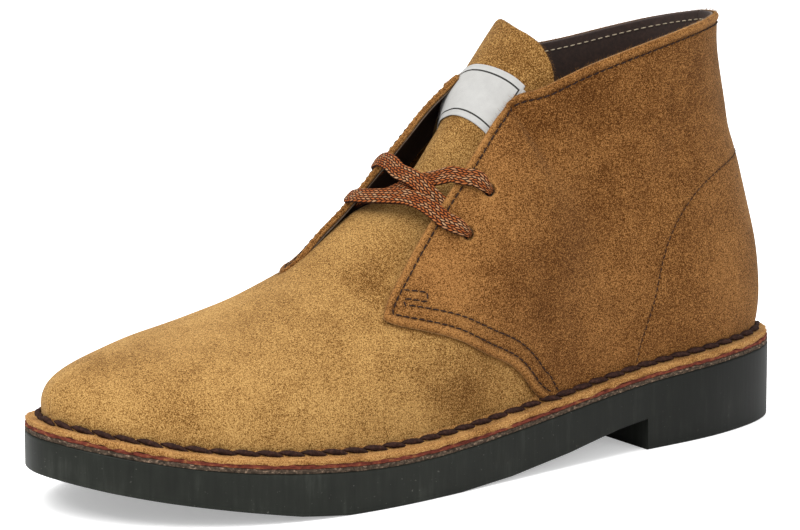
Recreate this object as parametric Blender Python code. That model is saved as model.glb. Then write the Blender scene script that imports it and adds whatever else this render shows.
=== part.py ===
"""A left chukka boot: lace-up, stitch-down, on a moulded rubber sole. Metres, floor at z = 0.

The toe points along -Y, +X is the outer side of the foot, and the origin is the centre of the heel's rest.
The working frame of the tables is (x, d, z), where d is the distance forward of the heel's rearmost point.
"""

import math

import bmesh
import bpy
import numpy as np

# Driving sizes, in metres. Every table below is a share of one of these.
SOLE_LENGTH = 0.303
BALL_WIDTH = 0.106
COLLAR_HEIGHT = 0.150
HEEL_REST_LENGTH = 0.0767
HEEL_BREAST = 0.0113
UPPER_MARGIN = 0.0062
RUNNER_THICK = 0.0013
MIDSOLE_THICK = 0.0011
FLANGE_THICK = 0.0017
INSOLE_THICK = 0.0022
VAMP_WALL = 0.0018
QUARTER_STEP = 0.0015
TONGUE_THICK = 0.0018
EYELET_BORE = 0.0040
LACE_WIDTH = 0.0062
LACE_THICK = 0.0018
LABEL_WIDTH = 0.0370
LABEL_HEIGHT = 0.0235
LABEL_THICK = 0.0005
GAP = 0.0003
SOLE_CHAMFER = 0.0007
RUNNER_INSET = 0.0003
MIDSOLE_INSET = 0.0005
QUARTER_BITE = 0.0006
COLLAR_RISE = 0.0008
SLOT_MARGIN = 0.0055
SLOT_RELIEF = 0.0005
LABEL_DROP = 0.0205
CUTTER_REACH = 0.006

# Sole outline: distance forward of the heel (of SOLE_LENGTH), half width outer and inner (of BALL_WIDTH).
OUTLINE = (
    (0.0133, 0.1462, 0.1509),
    (0.0400, 0.2170, 0.2500),
    (0.0900, 0.2830, 0.3160),
    (0.1500, 0.3283, 0.3396),
    (0.2500, 0.3585, 0.3349),
    (0.3667, 0.3991, 0.2972),
    (0.5000, 0.4557, 0.3255),
    (0.6333, 0.5113, 0.4198),
    (0.7167, 0.5170, 0.4764),
    (0.8000, 0.4849, 0.4764),
    (0.8733, 0.4132, 0.4245),
    (0.9333, 0.3038, 0.3396),
    (0.9700, 0.1887, 0.2500),
    (0.9900, 0.0849, 0.1557),
)
TOE_TIP_X = -0.0377
# Height of the rubber's top (of COLLAR_HEIGHT) at a distance forward of the heel (of SOLE_LENGTH).
SOLE_TOP = (
    (0.0000, 0.1833),
    (0.1320, 0.1767),
    (0.2475, 0.1633),
    (0.3630, 0.1373),
    (0.4950, 0.1080),
    (0.6271, 0.0947),
    (0.7591, 0.1073),
    (0.8746, 0.1340),
    (0.9901, 0.1773),
)
# Height of the tread forward of the breast (of HEEL_BREAST): the arch, the flat ball, the toe spring.
TREAD = (
    (0.2530, 1.0000),
    (0.3000, 0.8500),
    (0.3800, 0.4500),
    (0.4700, 0.1300),
    (0.5500, 0.0000),
    (0.6300, 0.0000),
    (0.7100, 0.0000),
    (0.7700, 0.1500),
    (0.8400, 0.4700),
    (0.9100, 0.8000),
    (0.9600, 1.0600),
    (1.0000, 1.3000),
)

# The last's top line. Columns run from the feather line up to it; u is the column's place along the
# outline, from the toe tip (0) to the back of the heel (1). x of BALL_WIDTH, d of SOLE_LENGTH, z of
# COLLAR_HEIGHT.
RIDGE_END = 0.6
RIDGE = (
    (0.000, -0.0660, 0.9290, 0.3233),
    (0.050, -0.0720, 0.9190, 0.3290),
    (0.100, -0.0800, 0.8950, 0.3390),
    (0.200, -0.0900, 0.8150, 0.3660),
    (0.300, -0.0943, 0.7180, 0.4110),
    (0.400, -0.0755, 0.6172, 0.5133),
    (0.500, -0.0472, 0.5182, 0.6933),
    (0.600, -0.0283, 0.4191, 0.8817),
)
COLLAR_OUTER = (
    (0.000, -0.0283, 0.4191, 0.8817),
    (0.130, 0.0943, 0.4125, 0.8767),
    (0.270, 0.1981, 0.3911, 0.8700),
    (0.420, 0.2736, 0.3465, 0.9133),
    (0.560, 0.3160, 0.2871, 0.9533),
    (0.700, 0.3208, 0.2145, 0.9800),
    (0.840, 0.2500, 0.1386, 0.9967),
    (0.930, 0.1415, 0.0957, 1.0000),
    (1.000, -0.0094, 0.0792, 1.0000),
)
COLLAR_INNER = (
    (0.000, -0.0283, 0.4191, 0.8817),
    (0.130, -0.1415, 0.4125, 0.8833),
    (0.270, -0.2358, 0.3894, 0.8800),
    (0.420, -0.2925, 0.3465, 0.9133),
    (0.560, -0.3208, 0.2871, 0.9367),
    (0.700, -0.3208, 0.2145, 0.9500),
    (0.840, -0.2500, 0.1386, 0.9733),
    (0.930, -0.1509, 0.0957, 0.9933),
    (1.000, -0.0094, 0.0792, 1.0000),
)
# Shape of a column: u, outward lean at the feather in degrees, its handle (of COLLAR_HEIGHT), the
# direction x, d, z in which it reaches the top line, and the handle there (of COLLAR_HEIGHT).
COLUMNS_OUTER = (
    (0.00, 16, 0.0600, 0, -1, 0.22, 0.0933),
    (0.10, 13, 0.0800, -0.8, -0.6, 0.1, 0.1333),
    (0.20, 8, 0.1333, -1, -0.2, 0.02, 0.2000),
    (0.30, 6, 0.1733, -1, -0.05, 0, 0.1933),
    (0.40, 8, 0.2267, -1, 0, 0, 0.1600),
    (0.50, 6, 0.2933, -1, 0, 0, 0.1800),
    (0.60, 4, 0.3467, -1, 0.04, 0.04, 0.2267),
    (0.66, 4, 0.3333, -0.55, 0.12, 0.6, 0.2000),
    (0.71, 6, 0.3067, -0.3, 0.14, 1, 0.2000),
    (0.76, 10, 0.2667, 0, 0.1, 1, 0.2133),
    (0.82, 15, 0.2400, 0.08, 0.03, 1, 0.2267),
    (0.88, 16, 0.2267, 0.1, 0, 1, 0.2267),
    (0.95, 14, 0.2267, 0.05, -0.06, 1, 0.2267),
    (1.00, 12, 0.2267, 0, -0.1, 1, 0.2267),
)
COLUMNS_INNER = (
    (0.00, 16, 0.0600, 0, -1, 0.22, 0.0933),
    (0.10, 11, 0.0800, 0.8, -0.6, 0.1, 0.1200),
    (0.20, 3, 0.1467, 1, -0.2, 0.02, 0.1600),
    (0.30, 3, 0.2000, 1, -0.05, 0, 0.1467),
    (0.40, 10, 0.2533, 1, 0, 0, 0.1200),
    (0.50, 13, 0.2933, 1, 0, 0, 0.1667),
    (0.60, 12, 0.3467, 1, 0.04, 0.04, 0.2200),
    (0.66, 12, 0.3333, 0.5, 0.12, 0.6, 0.2000),
    (0.71, 12, 0.3067, 0.25, 0.14, 1, 0.2000),
    (0.76, 13, 0.2667, 0, 0.1, 1, 0.2133),
    (0.82, 15, 0.2400, -0.08, 0.03, 1, 0.2267),
    (0.88, 14, 0.2267, -0.1, 0, 1, 0.2267),
    (0.95, 14, 0.2267, -0.05, -0.06, 1, 0.2267),
    (1.00, 12, 0.2267, 0, -0.1, 1, 0.2267),
)
# Side-view lines: d of SOLE_LENGTH, z of COLLAR_HEIGHT. The quarter's lower front edge, from the welt
# up to its corner, then the facing's edge up to the collar.
QUARTER_EDGE = (
    (0.4090, -0.0300),
    (0.4125, 0.1550),
    (0.4205, 0.1830),
    (0.4373, 0.2187),
    (0.4600, 0.2610),
    (0.4967, 0.2993),
    (0.5360, 0.3413),
    (0.5630, 0.3620),
    (0.5884, 0.3780),
    (0.6040, 0.3890),
    (0.6115, 0.3985),
    (0.6115, 0.4110),
    (0.6020, 0.4300),
    (0.5875, 0.4667),
    (0.5571, 0.5280),
    (0.5284, 0.5900),
    (0.5059, 0.6387),
    (0.4726, 0.7120),
    (0.4379, 0.7873),
    (0.4150, 0.8270),
    (0.3960, 0.8520),
    (0.3740, 0.8760),
    (0.3500, 0.9200),
    (0.3300, 1.1500),
)
# The slot that the tongue lies in, behind the facings: d, z shares as above.
TONGUE_SLOT = (
    (0.5970, 1.2000),
    (0.5970, 0.4080),
    (0.5560, 0.4080),
    (0.5267, 0.4667),
    (0.4970, 0.5300),
    (0.4409, 0.6533),
    (0.4079, 0.7267),
    (0.3584, 0.8067),
    (0.3250, 0.9300),
    (0.2900, 1.2000),
)
# Eyelets: side view d and z, of SOLE_LENGTH and COLLAR_HEIGHT.
EYELETS = ((0.4574, 0.6547), (0.4957, 0.5673))
# Rows of the tongue above the collar: rise (of COLLAR_HEIGHT) and share of its width.
TONGUE_TOP = (
    (0.030, 1.00),
    (0.060, 1.00),
    (0.090, 0.99),
    (0.116, 0.92),
    (0.137, 0.79),
    (0.151, 0.58),
    (0.158, 0.30),
)
TONGUE_TOP_PATH = (-0.60, 0.80)
TONGUE_REACH = ((0.36, 0.60), (0.434, 0.545), (0.49, 0.455), (0.54, 0.375), (0.60, 0.30))
TONGUE_SINK = 0.0037
# Lace paths: side (outer 1, inner -1), u, t on the last's skin, and height over it (of LACE_THICK).
LACE_BAR = (
    (1, 0.519, 0.540, 2.05),
    (1, 0.508, 0.640, 2.05),
    (1, 0.498, 0.725, 2.10),
    (1, 0.482, 0.850, 2.05),
    (1, 0.473, 0.950, 1.60),
    (-1, 0.474, 0.930, 1.60),
    (-1, 0.486, 0.820, 2.05),
    (-1, 0.500, 0.710, 2.05),
    (-1, 0.510, 0.620, 2.05),
    (-1, 0.519, 0.560, 2.05),
)
LACE_RISING = (
    (1, 0.554, 0.605, 2.05),
    (1, 0.548, 0.680, 2.10),
    (1, 0.531, 0.760, 2.00),
    (1, 0.515, 0.825, 1.90),
    (1, 0.495, 0.900, 1.55),
    (-1, 0.487, 0.985, 1.35),
    (-1, 0.480, 0.880, 1.35),
)
LACE_CROSSING = (
    (-1, 0.549, 0.620, 2.05),
    (-1, 0.543, 0.730, 2.10),
    (-1, 0.530, 0.850, 2.10),
    (-1, 0.521, 0.950, 2.20),
    (1, 0.513, 0.930, 2.10),
    (1, 0.505, 0.840, 2.00),
    (1, 0.503, 0.775, 2.10),
)
COLUMN_PLACES = (
    0.0, 0.025, 0.05, 0.075, 0.10, 0.13, 0.16, 0.19, 0.22, 0.25, 0.28, 0.31, 0.34, 0.365, 0.39, 0.415, 0.44,
    0.46, 0.48, 0.50, 0.52, 0.54, 0.56, 0.58, 0.60, 0.62, 0.64, 0.66, 0.68, 0.70, 0.72, 0.74, 0.765, 0.79,
    0.815, 0.84, 0.865, 0.89, 0.91, 0.93, 0.95, 0.967, 0.983, 1.0,
)  # fmt: skip
ROW_PLACES = (0.0, 0.04, 0.09, 0.15, 0.22, 0.30, 0.38, 0.46, 0.54, 0.62, 0.70, 0.78, 0.86, 0.93, 1.0)


def spline(knots, values, at):
    """Natural cubic spline through rows of values."""
    k = np.asarray(knots, float)
    v = np.asarray(values, float)
    at = np.asarray(at, float)
    flat = v.ndim == 1
    if flat:
        v = v[:, None]
    n, h = len(k), np.diff(k)
    a, b = np.eye(n), np.zeros((n, v.shape[1]))
    for i in range(1, n - 1):
        a[i, i - 1], a[i, i], a[i, i + 1] = h[i - 1], 2 * (h[i - 1] + h[i]), h[i]
        b[i] = 6 * ((v[i + 1] - v[i]) / h[i] - (v[i] - v[i - 1]) / h[i - 1])
    m = np.linalg.solve(a, b)
    i = np.clip(np.searchsorted(k, at) - 1, 0, n - 2)
    p, q = (k[i + 1] - at) / h[i], (at - k[i]) / h[i]
    bend = ((p**3 - p)[:, None] * m[i] + (q**3 - q)[:, None] * m[i + 1]) * (h[i] ** 2)[:, None] / 6
    out = p[:, None] * v[i] + q[:, None] * v[i + 1] + bend
    return out[:, 0] if flat else out


def table(rows, *units):
    return np.array(rows, float) * np.array(units)


def side_line(rows):
    return table(rows, SOLE_LENGTH, COLLAR_HEIGHT)


def outline(side, u):
    """Plan points (x, d) of the sole's outline, side 1 outer or -1 inner, u from the toe 0 to the heel 1."""
    rows = table(OUTLINE, SOLE_LENGTH, BALL_WIDTH, BALL_WIDTH)[::-1]
    tip = [[TOE_TIP_X * BALL_WIDTH, SOLE_LENGTH]]
    outer = np.stack([rows[:, 1], rows[:, 0]], 1)
    inner = np.stack([-rows[:, 2], rows[:, 0]], 1)[::-1]
    ring = np.concatenate([tip, outer, [[0, 0]], inner, tip])
    ring = np.concatenate([ring[-5:-1], ring, ring[1:5]])
    s = np.concatenate([[0], np.cumsum(np.hypot(*np.diff(ring, axis=0).T))])
    s -= s[4]
    n = len(rows)
    heel, total = s[5 + n], s[6 + 2 * n]
    u = np.asarray(u, float)
    return spline(s, ring, u * heel if side > 0 else total - u * (total - heel))


def outline_normal(side, u):
    """Unit plan vectors that point out of the sole."""
    u = np.asarray(u, float)
    along = outline(side, u + 1e-3) - outline(side, u - 1e-3)
    along /= np.linalg.norm(along, axis=1)[:, None]
    return np.stack([-along[:, 1], along[:, 0]], 1) * side


def inset(side, u, amount):
    return outline(side, u) - outline_normal(side, u) * amount


def sole_top(d):
    rows = table(SOLE_TOP, SOLE_LENGTH, COLLAR_HEIGHT)
    return spline(rows[:, 0], rows[:, 1], d)


def tread(d):
    rows = table(TREAD, SOLE_LENGTH, HEEL_BREAST)
    d = np.asarray(d, float)
    return np.where(d <= HEEL_REST_LENGTH + GAP / 2, 0.0, np.interp(d, rows[:, 0], rows[:, 1]))


LAYERS = 3 * GAP + RUNNER_THICK + MIDSOLE_THICK + FLANGE_THICK


def feather(side, u):
    p = inset(side, u, UPPER_MARGIN)
    return np.column_stack([p, sole_top(p[:, 1]) + LAYERS])


def top_line(side, u):
    u = np.asarray(u, float)
    ridge = np.array(RIDGE)
    collar = np.array(COLLAR_OUTER if side > 0 else COLLAR_INNER)
    units = (BALL_WIDTH, SOLE_LENGTH, COLLAR_HEIGHT)
    front = spline(ridge[:, 0], ridge[:, 1:] * units, np.minimum(u, RIDGE_END))
    place = np.clip((u - RIDGE_END) / (1 - RIDGE_END), 0, 1)
    rear = spline(collar[:, 0], collar[:, 1:] * units, place)
    return np.where((u <= RIDGE_END)[:, None], front, rear)


def columns(side, u, t):
    """The last's skin as (u, t, xyz), each column a cubic curve from the feather to the top line."""
    u, t = np.asarray(u, float), np.asarray(t, float)
    low, high = feather(side, u), top_line(side, u)
    rows = np.array(COLUMNS_OUTER if side > 0 else COLUMNS_INNER)
    v = spline(rows[:, 0], rows[:, 1:], u)
    lean = np.radians(v[:, 0])[:, None]
    start = np.column_stack([outline_normal(side, u) * np.sin(lean), np.cos(lean)])
    end = v[:, 2:5] / np.linalg.norm(v[:, 2:5], axis=1)[:, None]
    c1 = low + start * v[:, 1:2] * COLLAR_HEIGHT
    c2 = high - end * v[:, 5:6] * COLLAR_HEIGHT
    s = t[None, :, None]
    return (
        (1 - s) ** 3 * low[:, None]
        + 3 * (1 - s) ** 2 * s * c1[:, None]
        + 3 * (1 - s) * s**2 * c2[:, None]
        + s**3 * high[:, None]
    )


def evened(grid, u, t):
    """Evens out the ankle, where columns that end on the ridge meet those that end on the collar."""
    w = np.clip(1 - np.abs((u - 0.67) / 0.07), 0, 1)[:, None] ** 0.5
    w = (w * np.clip((t - 0.25) / 0.2, 0, 1)[None, :] ** 0.5)[..., None]
    w[:, 0] = w[:, -1] = 0
    for _ in range(14):
        mean = grid.copy()
        mean[1:-1, 1:-1] = (grid[:-2, 1:-1] + grid[2:, 1:-1] + grid[1:-1, :-2] + grid[1:-1, 2:]) / 4
        grid = grid + w * 0.8 * (mean - grid)
    return grid


FINE_U = np.linspace(0, 1, 101)
FINE_T = np.linspace(0, 1, 41)
FINE = {side: evened(columns(side, FINE_U, FINE_T), FINE_U, FINE_T) for side in (1, -1)}


def skin(side, u, t):
    """Points of the last's skin at pairs of u and t."""
    grid = FINE[side]
    u, t = np.clip(np.asarray(u, float), 0, 1), np.clip(np.asarray(t, float), 0, 1)
    a, b = u * (len(FINE_U) - 1), t * (len(FINE_T) - 1)
    i = np.minimum(a.astype(int), len(FINE_U) - 2)
    j = np.minimum(b.astype(int), len(FINE_T) - 2)
    a, b = (a - i)[..., None], (b - j)[..., None]
    low = grid[i, j] * (1 - a) + grid[i + 1, j] * a
    high = grid[i, j + 1] * (1 - a) + grid[i + 1, j + 1] * a
    return low * (1 - b) + high * b


def skin_normal(side, u, t):
    u, t = np.asarray(u, float), np.asarray(t, float)
    du = skin(side, np.clip(u + 0.01, 0, 1), t) - skin(side, np.clip(u - 0.01, 0, 1), t)
    dt = skin(side, u, np.clip(t + 0.03, 0, 1)) - skin(side, u, np.clip(t - 0.03, 0, 1))
    n = np.cross(du, dt) * -side
    return n / np.linalg.norm(n, axis=-1)[..., None]


def skin_place(side, d, z):
    """u, t of the skin's point that a side view shows at d, z."""
    grid = FINE[side]
    i, j = np.unravel_index(np.argmin(np.hypot(grid[:, :, 1] - d, grid[:, :, 2] - z)), grid.shape[:2])
    u, t = FINE_U[i], FINE_T[j]
    for _ in range(20):
        p = skin(side, u, t)
        e = 1e-3
        jac = np.stack([(skin(side, u + e, t) - p)[1:], (skin(side, u, t + e) - p)[1:]], 1) / e
        step = np.linalg.lstsq(jac, np.array([d, z]) - p[1:], rcond=None)[0]
        u, t = u + 0.6 * step[0], t + 0.6 * step[1]
    return u, t


def inside(points, polygon):
    """Whether side-view points (d, z) lie in a polygon."""
    hit = np.zeros(len(points), bool)
    for (d0, z0), (d1, z1) in zip(polygon, np.roll(polygon, -1, axis=0)):
        crosses = (z0 > points[:, 1]) != (z1 > points[:, 1])
        at = d0 + (points[:, 1] - z0) * (d1 - d0) / (z1 - z0 if z1 != z0 else 1e-12)
        hit ^= crosses & (points[:, 0] < at)
    return hit


def edge_distance(points, line):
    """Distance of side-view points from a line of points."""
    best = np.full(len(points), np.inf)
    for p, q in zip(line[:-1], line[1:]):
        along = q - p
        s = np.clip(((points - p) @ along) / (along @ along), 0, 1)
        best = np.minimum(best, np.linalg.norm(points - p - s[:, None] * along, axis=1))
    return best


def world(points):
    p = np.asarray(points, float)
    return np.stack([p[:, 0], HEEL_REST_LENGTH / 2 - p[:, 1], p[:, 2]], 1)


def material(name, colour, roughness):
    made = bpy.data.materials.new(name)
    made.use_nodes = True
    shader = made.node_tree.nodes["Principled BSDF"]
    shader.inputs["Base Color"].default_value = (*colour, 1)
    shader.inputs["Roughness"].default_value = roughness
    made.diffuse_color = (*colour, 1)
    return made


def add_object(name, points, faces, collection, mat=None):
    mesh = bpy.data.meshes.new(name)
    mesh.from_pydata(world(points).tolist(), [], [list(map(int, f)) for f in faces])
    bm = bmesh.new()
    bm.from_mesh(mesh)
    bmesh.ops.remove_doubles(bm, verts=bm.verts, dist=1e-6)
    bmesh.ops.triangulate(bm, faces=bm.faces)
    bmesh.ops.recalc_face_normals(bm, faces=bm.faces)
    if bm.calc_volume(signed=True) < 0:
        bmesh.ops.reverse_faces(bm, faces=bm.faces)
    bm.to_mesh(mesh)
    bm.free()
    made = bpy.data.objects.new(name, mesh)
    collection.objects.link(made)
    if mat:
        mesh.materials.append(mat)
    return made


def side_prism(name, line, cutters, half=0.12):
    """A cutter with a side-view outline, right across the boot."""
    n = len(line)
    points = [(x, d, z) for x in (-half, half) for d, z in line]
    faces = [tuple(range(n)), tuple(range(2 * n - 1, n - 1, -1))]
    faces += [(i, (i + 1) % n, n + (i + 1) % n, n + i) for i in range(n)]
    made = add_object(name, points, faces, cutters)
    made.hide_render = True
    made.display_type = "WIRE"
    return made


def combine(target, other, operation):
    modifier = target.modifiers.new(f"{operation.lower()}_{other.name}", "BOOLEAN")
    modifier.operation = operation
    modifier.solver = "EXACT"
    modifier.object = other
    graph = bpy.context.evaluated_depsgraph_get()
    mesh = bpy.data.meshes.new_from_object(target.evaluated_get(graph))
    target.modifiers.clear()
    target.data = mesh


def slab(name, collection, mat, edge_inset, z_low, z_high, chamfer=0.0):
    """A plate with the sole's outline, between two heights that depend on d."""
    span = np.linspace(0, 1, 47)
    d_at = SOLE_LENGTH * (0.5 - 0.5 * np.cos(np.pi * span))
    d_at = np.unique(np.concatenate([d_at[1:-1], [HEEL_REST_LENGTH, HEEL_REST_LENGTH + GAP]]))
    fine = np.linspace(0, 1, 801)
    u_at = {}
    for side in (1, -1):
        d = outline(side, fine)[:, 1]
        u_at[side] = np.interp(-d_at, -d, fine)
    rows = ((chamfer, 0, chamfer), (0, chamfer, 0), (0, 0, -chamfer), (chamfer, 0, 0))
    rows = rows if chamfer else ((0, 0, 0), (0, 0, 0))
    points, index = [], []
    for k, (more, _, _) in enumerate(rows):
        ring = []
        for side, us in ((1, u_at[1]), (-1, u_at[-1][::-1])):
            ring.append(inset(side, us, edge_inset + more))
        heel = inset(1, [1.0], edge_inset + more)
        toe = inset(1, [0.0], edge_inset + more)
        plan = np.concatenate([heel, ring[0], toe, ring[1]])
        low, high = z_low(plan[:, 1]), z_high(plan[:, 1])
        if not chamfer:
            z = low if k == 0 else high
        else:
            z = (low, low + chamfer, high - chamfer, high)[k]
        index.append(range(len(points), len(points) + len(plan)))
        points += [tuple(p) for p in np.column_stack([plan, z])]
    n, m = len(index[0]), len(d_at)
    faces = []
    for a, b in zip(index[:-1], index[1:]):
        faces += [(a[i], a[(i + 1) % n], b[(i + 1) % n], b[i]) for i in range(n)]
    for ring in (index[0], index[-1]):
        left, right = [ring[1 + i] for i in range(m)], [ring[n - 1 - i] for i in range(m)]
        faces.append((ring[0], left[0], right[0]))
        faces += [(left[i], left[i + 1], right[i + 1], right[i]) for i in range(m - 1)]
        faces.append((left[-1], ring[m + 1], right[-1]))
    return add_object(name, points, faces, collection, mat)


class Skin:
    """The last's skin as one welded net of both sides, with its vertex normals."""

    def __init__(self, first=0, low_row=0):
        us, ts = np.array(COLUMN_PLACES)[first:], np.array(ROW_PLACES)[low_row:]
        self.us, self.ts = us, ts
        n, m = len(us), len(ts)
        points, where = [], {}
        self.index = {}
        for side in (1, -1):
            uu, tt = np.meshgrid(us, ts, indexing="ij")
            grid = skin(side, uu, tt)
            table_ = np.zeros((n, m), int)
            for i in range(n):
                for j in range(m):
                    shared = us[i] in (0.0, 1.0) or (j == m - 1 and us[i] <= RIDGE_END + 1e-9)
                    if side < 0 and shared:
                        table_[i, j] = self.index[1][i, j]
                        continue
                    table_[i, j] = len(points)
                    points.append(grid[i, j])
            self.index[side] = table_
        self.points = np.array(points)
        self.quads = []
        for side in (1, -1):
            t_ = self.index[side]
            for i in range(n - 1):
                for j in range(m - 1):
                    quad = (t_[i, j], t_[i + 1, j], t_[i + 1, j + 1], t_[i, j + 1])
                    self.quads.append(quad if side < 0 else quad[::-1])
        normals = np.zeros_like(self.points)
        for q in self.quads:
            p = self.points[list(q)]
            normals[list(q)] += np.cross(p[2] - p[0], p[3] - p[1])
        normals /= np.linalg.norm(normals, axis=1)[:, None]
        middle = np.array([0, 0.4 * SOLE_LENGTH, 0.4 * COLLAR_HEIGHT])
        if ((self.points - middle) * normals).sum() < 0:
            normals = -normals
        self.normals = normals

    def loop(self, row, first=0):
        """Indices along a row, from a column of the outer side round the heel to the same one inside."""
        outer, inner = self.index[1][first:, row], self.index[-1][first:, row]
        return list(outer) + list(inner[::-1][1:])


def thick_net(net, low, high):
    """Points and quads of the net between two offsets along its normals."""
    inner = net.points + net.normals * low[:, None]
    outer = net.points + net.normals * high[:, None]
    n = len(net.points)
    quads = [tuple(n + np.array(q)) for q in net.quads] + [tuple(q[::-1]) for q in net.quads]
    return np.concatenate([inner, outer]), quads


def lasting_shell(collection, mat):
    """Vamp and lining level: the whole boot's wall with its lower edge turned out on the midsole."""
    net = Skin()
    n = len(net.points)
    low, high = np.full(n, -VAMP_WALL), np.zeros(n)
    points, quads = thick_net(net, low, high)
    foot = net.loop(0)
    whole = foot[:-1] if foot[0] == foot[-1] else foot
    us = np.concatenate([net.us, net.us[::-1][1:]])[: len(whole)]
    sides = [1] * len(net.us) + [-1] * (len(whole) - len(net.us))
    feet = np.array([feather(s, [u])[0] for s, u in zip(sides, us)])
    normal = np.array([outline_normal(s, [u])[0] for s, u in zip(sides, us)])
    rim = np.array([inset(s, [u], GAP * 2)[0] for s, u in zip(sides, us)])
    rim_z = sole_top(rim[:, 1]) + LAYERS
    extra = [np.column_stack([rim, rim_z]), np.column_stack([rim, rim_z - FLANGE_THICK])]
    inner = np.column_stack([feet[:, :2] - normal * VAMP_WALL, feet[:, 2] - FLANGE_THICK])
    for k, vertex in enumerate(whole):
        points[vertex] = inner[k] + [0, 0, FLANGE_THICK]
    base = len(points)
    points = np.concatenate([points, *extra, inner])
    m = len(whole)
    ring = [
        [n + v for v in whole],
        [base + k for k in range(m)],
        [base + m + k for k in range(m)],
        [base + 2 * m + k for k in range(m)],
        list(whole),
    ]
    for a, b in zip(ring[:-1], ring[1:]):
        quads += [(a[k], a[(k + 1) % m], b[(k + 1) % m], b[k]) for k in range(m)]
    first = int(np.searchsorted(net.us, RIDGE_END - 1e-9))
    rim = net.loop(-1, first)
    quads += [(a, b, n + b, n + a) for a, b in zip(rim[:-1], rim[1:])]
    return add_object("upper", points, quads, collection, mat)


def quarter_shell(collection, mat):
    """The two quarters, one step out over the lasting shell and clear of the tongue's slot."""
    first = int(np.searchsorted(COLUMN_PLACES, 0.36))
    net = Skin(first)
    side_view = net.points[:, 1:]
    slot = side_line(TONGUE_SLOT)
    near = edge_distance(side_view, np.concatenate([slot, slot[:1]]))
    over = inside(side_view, slot) | (near < SLOT_MARGIN)
    low = np.where(over, 2 * GAP, -QUARTER_BITE)
    forward = np.clip((side_view[:, 0] / SOLE_LENGTH - 0.18) / 0.2, 0, 1)
    high = QUARTER_STEP * (0.62 + 0.38 * forward) + np.where(over, SLOT_RELIEF, 0)
    points, quads = thick_net(net, low, high)
    n = len(net.points)
    foot = net.loop(0)
    for v in foot:
        points[v] = points[v] - [0, 0, 0.5 * FLANGE_THICK]
        points[n + v] = points[n + v] - [0, 0, 0.5 * FLANGE_THICK]
    quads += [(a, b, n + b, n + a) for a, b in zip(foot[:-1], foot[1:])]
    ridge = int(np.searchsorted(net.us, RIDGE_END - 1e-9))
    rim = net.loop(-1, ridge)
    rise = np.array([0, 0, COLLAR_RISE])
    for v in rim:
        points[v] += rise
        points[n + v] += rise
    quads += [(a, b, n + b, n + a) for a, b in zip(rim[:-1], rim[1:])]
    front = list(net.index[1][0]) + list(net.index[-1][0][::-1][1:])
    quads += [(a, b, n + b, n + a) for a, b in zip(front[:-1], front[1:])]
    return add_object("quarters", points, quads, collection, mat)


def tongue(collection, mat):
    """A curved sheet that carries the vamp on up under the facings, with a rounded top."""
    us = [u for u in COLUMN_PLACES if 0.36 < u <= RIDGE_END + 1e-9]
    across = np.linspace(-1, 1, 25)
    reach = np.array(TONGUE_REACH)
    rows = []

    def row(u, share):
        a = across * share
        t = 1 - np.abs(a) * np.interp(u, reach[:, 0], reach[:, 1])
        uu = np.full(len(a), u)
        return np.where((a >= 0)[:, None], skin(1, uu, t), skin(-1, uu, t))

    for u in us:
        rows.append(row(u, 1.0))
    back, up = TONGUE_TOP_PATH
    for rise, share in TONGUE_TOP:
        lifted = row(us[-1], share)
        lifted[:, 1] += back * rise * COLLAR_HEIGHT
        lifted[:, 2] += up * rise * COLLAR_HEIGHT
        rows.append(lifted)
    grid = np.array(rows)
    du, dv = np.gradient(grid, axis=0), np.gradient(grid, axis=1)
    normal = np.cross(du, dv)
    normal /= np.linalg.norm(normal, axis=-1)[..., None]
    if normal[:, :, 1].sum() < 0:
        normal = -normal
    n, m = grid.shape[:2]
    sunk = np.clip((np.arange(n) - 3) / 12, 0, 1.2)[:, None] * np.clip(np.abs(across) * 1.6 - 0.2, 0, 1)
    grid = grid - normal * (sunk * TONGUE_SINK)[..., None]
    low = (grid - normal * TONGUE_THICK).reshape(-1, 3)
    points = np.concatenate([low, grid.reshape(-1, 3)])
    quads = []
    for i in range(n - 1):
        for j in range(m - 1):
            q = (i * m + j, i * m + j + 1, (i + 1) * m + j + 1, (i + 1) * m + j)
            quads += [q, tuple(n * m + k for k in q[::-1])]
    edge = [j for j in range(m)] + [i * m + m - 1 for i in range(1, n)]
    edge += [(n - 1) * m + j for j in range(m - 2, -1, -1)] + [i * m for i in range(n - 2, 0, -1)]
    quads += [(a, b, n * m + b, n * m + a) for a, b in zip(edge, edge[1:] + edge[:1])]
    return add_object("tongue", points, quads, collection, mat), grid, normal


def ribbon(name, path, collection, mat):
    """A flat lace strap along a path on the skin."""
    anchor, normal = [], []
    for side, u, t, height in path:
        n = skin_normal(side, u, t)
        anchor.append(skin(side, u, t) + n * height * LACE_THICK)
        normal.append(n)
    steps = np.linspace(0, len(path) - 1, 6 * (len(path) - 1) + 1)
    knots = np.arange(len(path))
    line, normal = spline(knots, anchor, steps), spline(knots, normal, steps)
    along = np.gradient(line, axis=0)
    along /= np.linalg.norm(along, axis=1)[:, None]
    normal -= (normal * along).sum(1)[:, None] * along
    normal /= np.linalg.norm(normal, axis=1)[:, None]
    across = np.cross(along, normal)
    half = ((-0.5, -0.25), (-0.42, -0.5), (0.42, -0.5), (0.5, -0.25))
    corner = half + tuple((-a, -b) for a, b in half)
    rings = [line + across * LACE_WIDTH * a + normal * LACE_THICK * b for a, b in corner]
    points = np.stack(rings, 1).reshape(-1, 3)
    k, c = len(line), len(corner)
    faces = [tuple(range(c)), tuple(range((k - 1) * c, k * c))]
    for i in range(k - 1):
        for j in range(c):
            faces.append((i * c + j, i * c + (j + 1) % c, (i + 1) * c + (j + 1) % c, (i + 1) * c + j))
    return add_object(name, points, faces, collection, mat)


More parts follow.
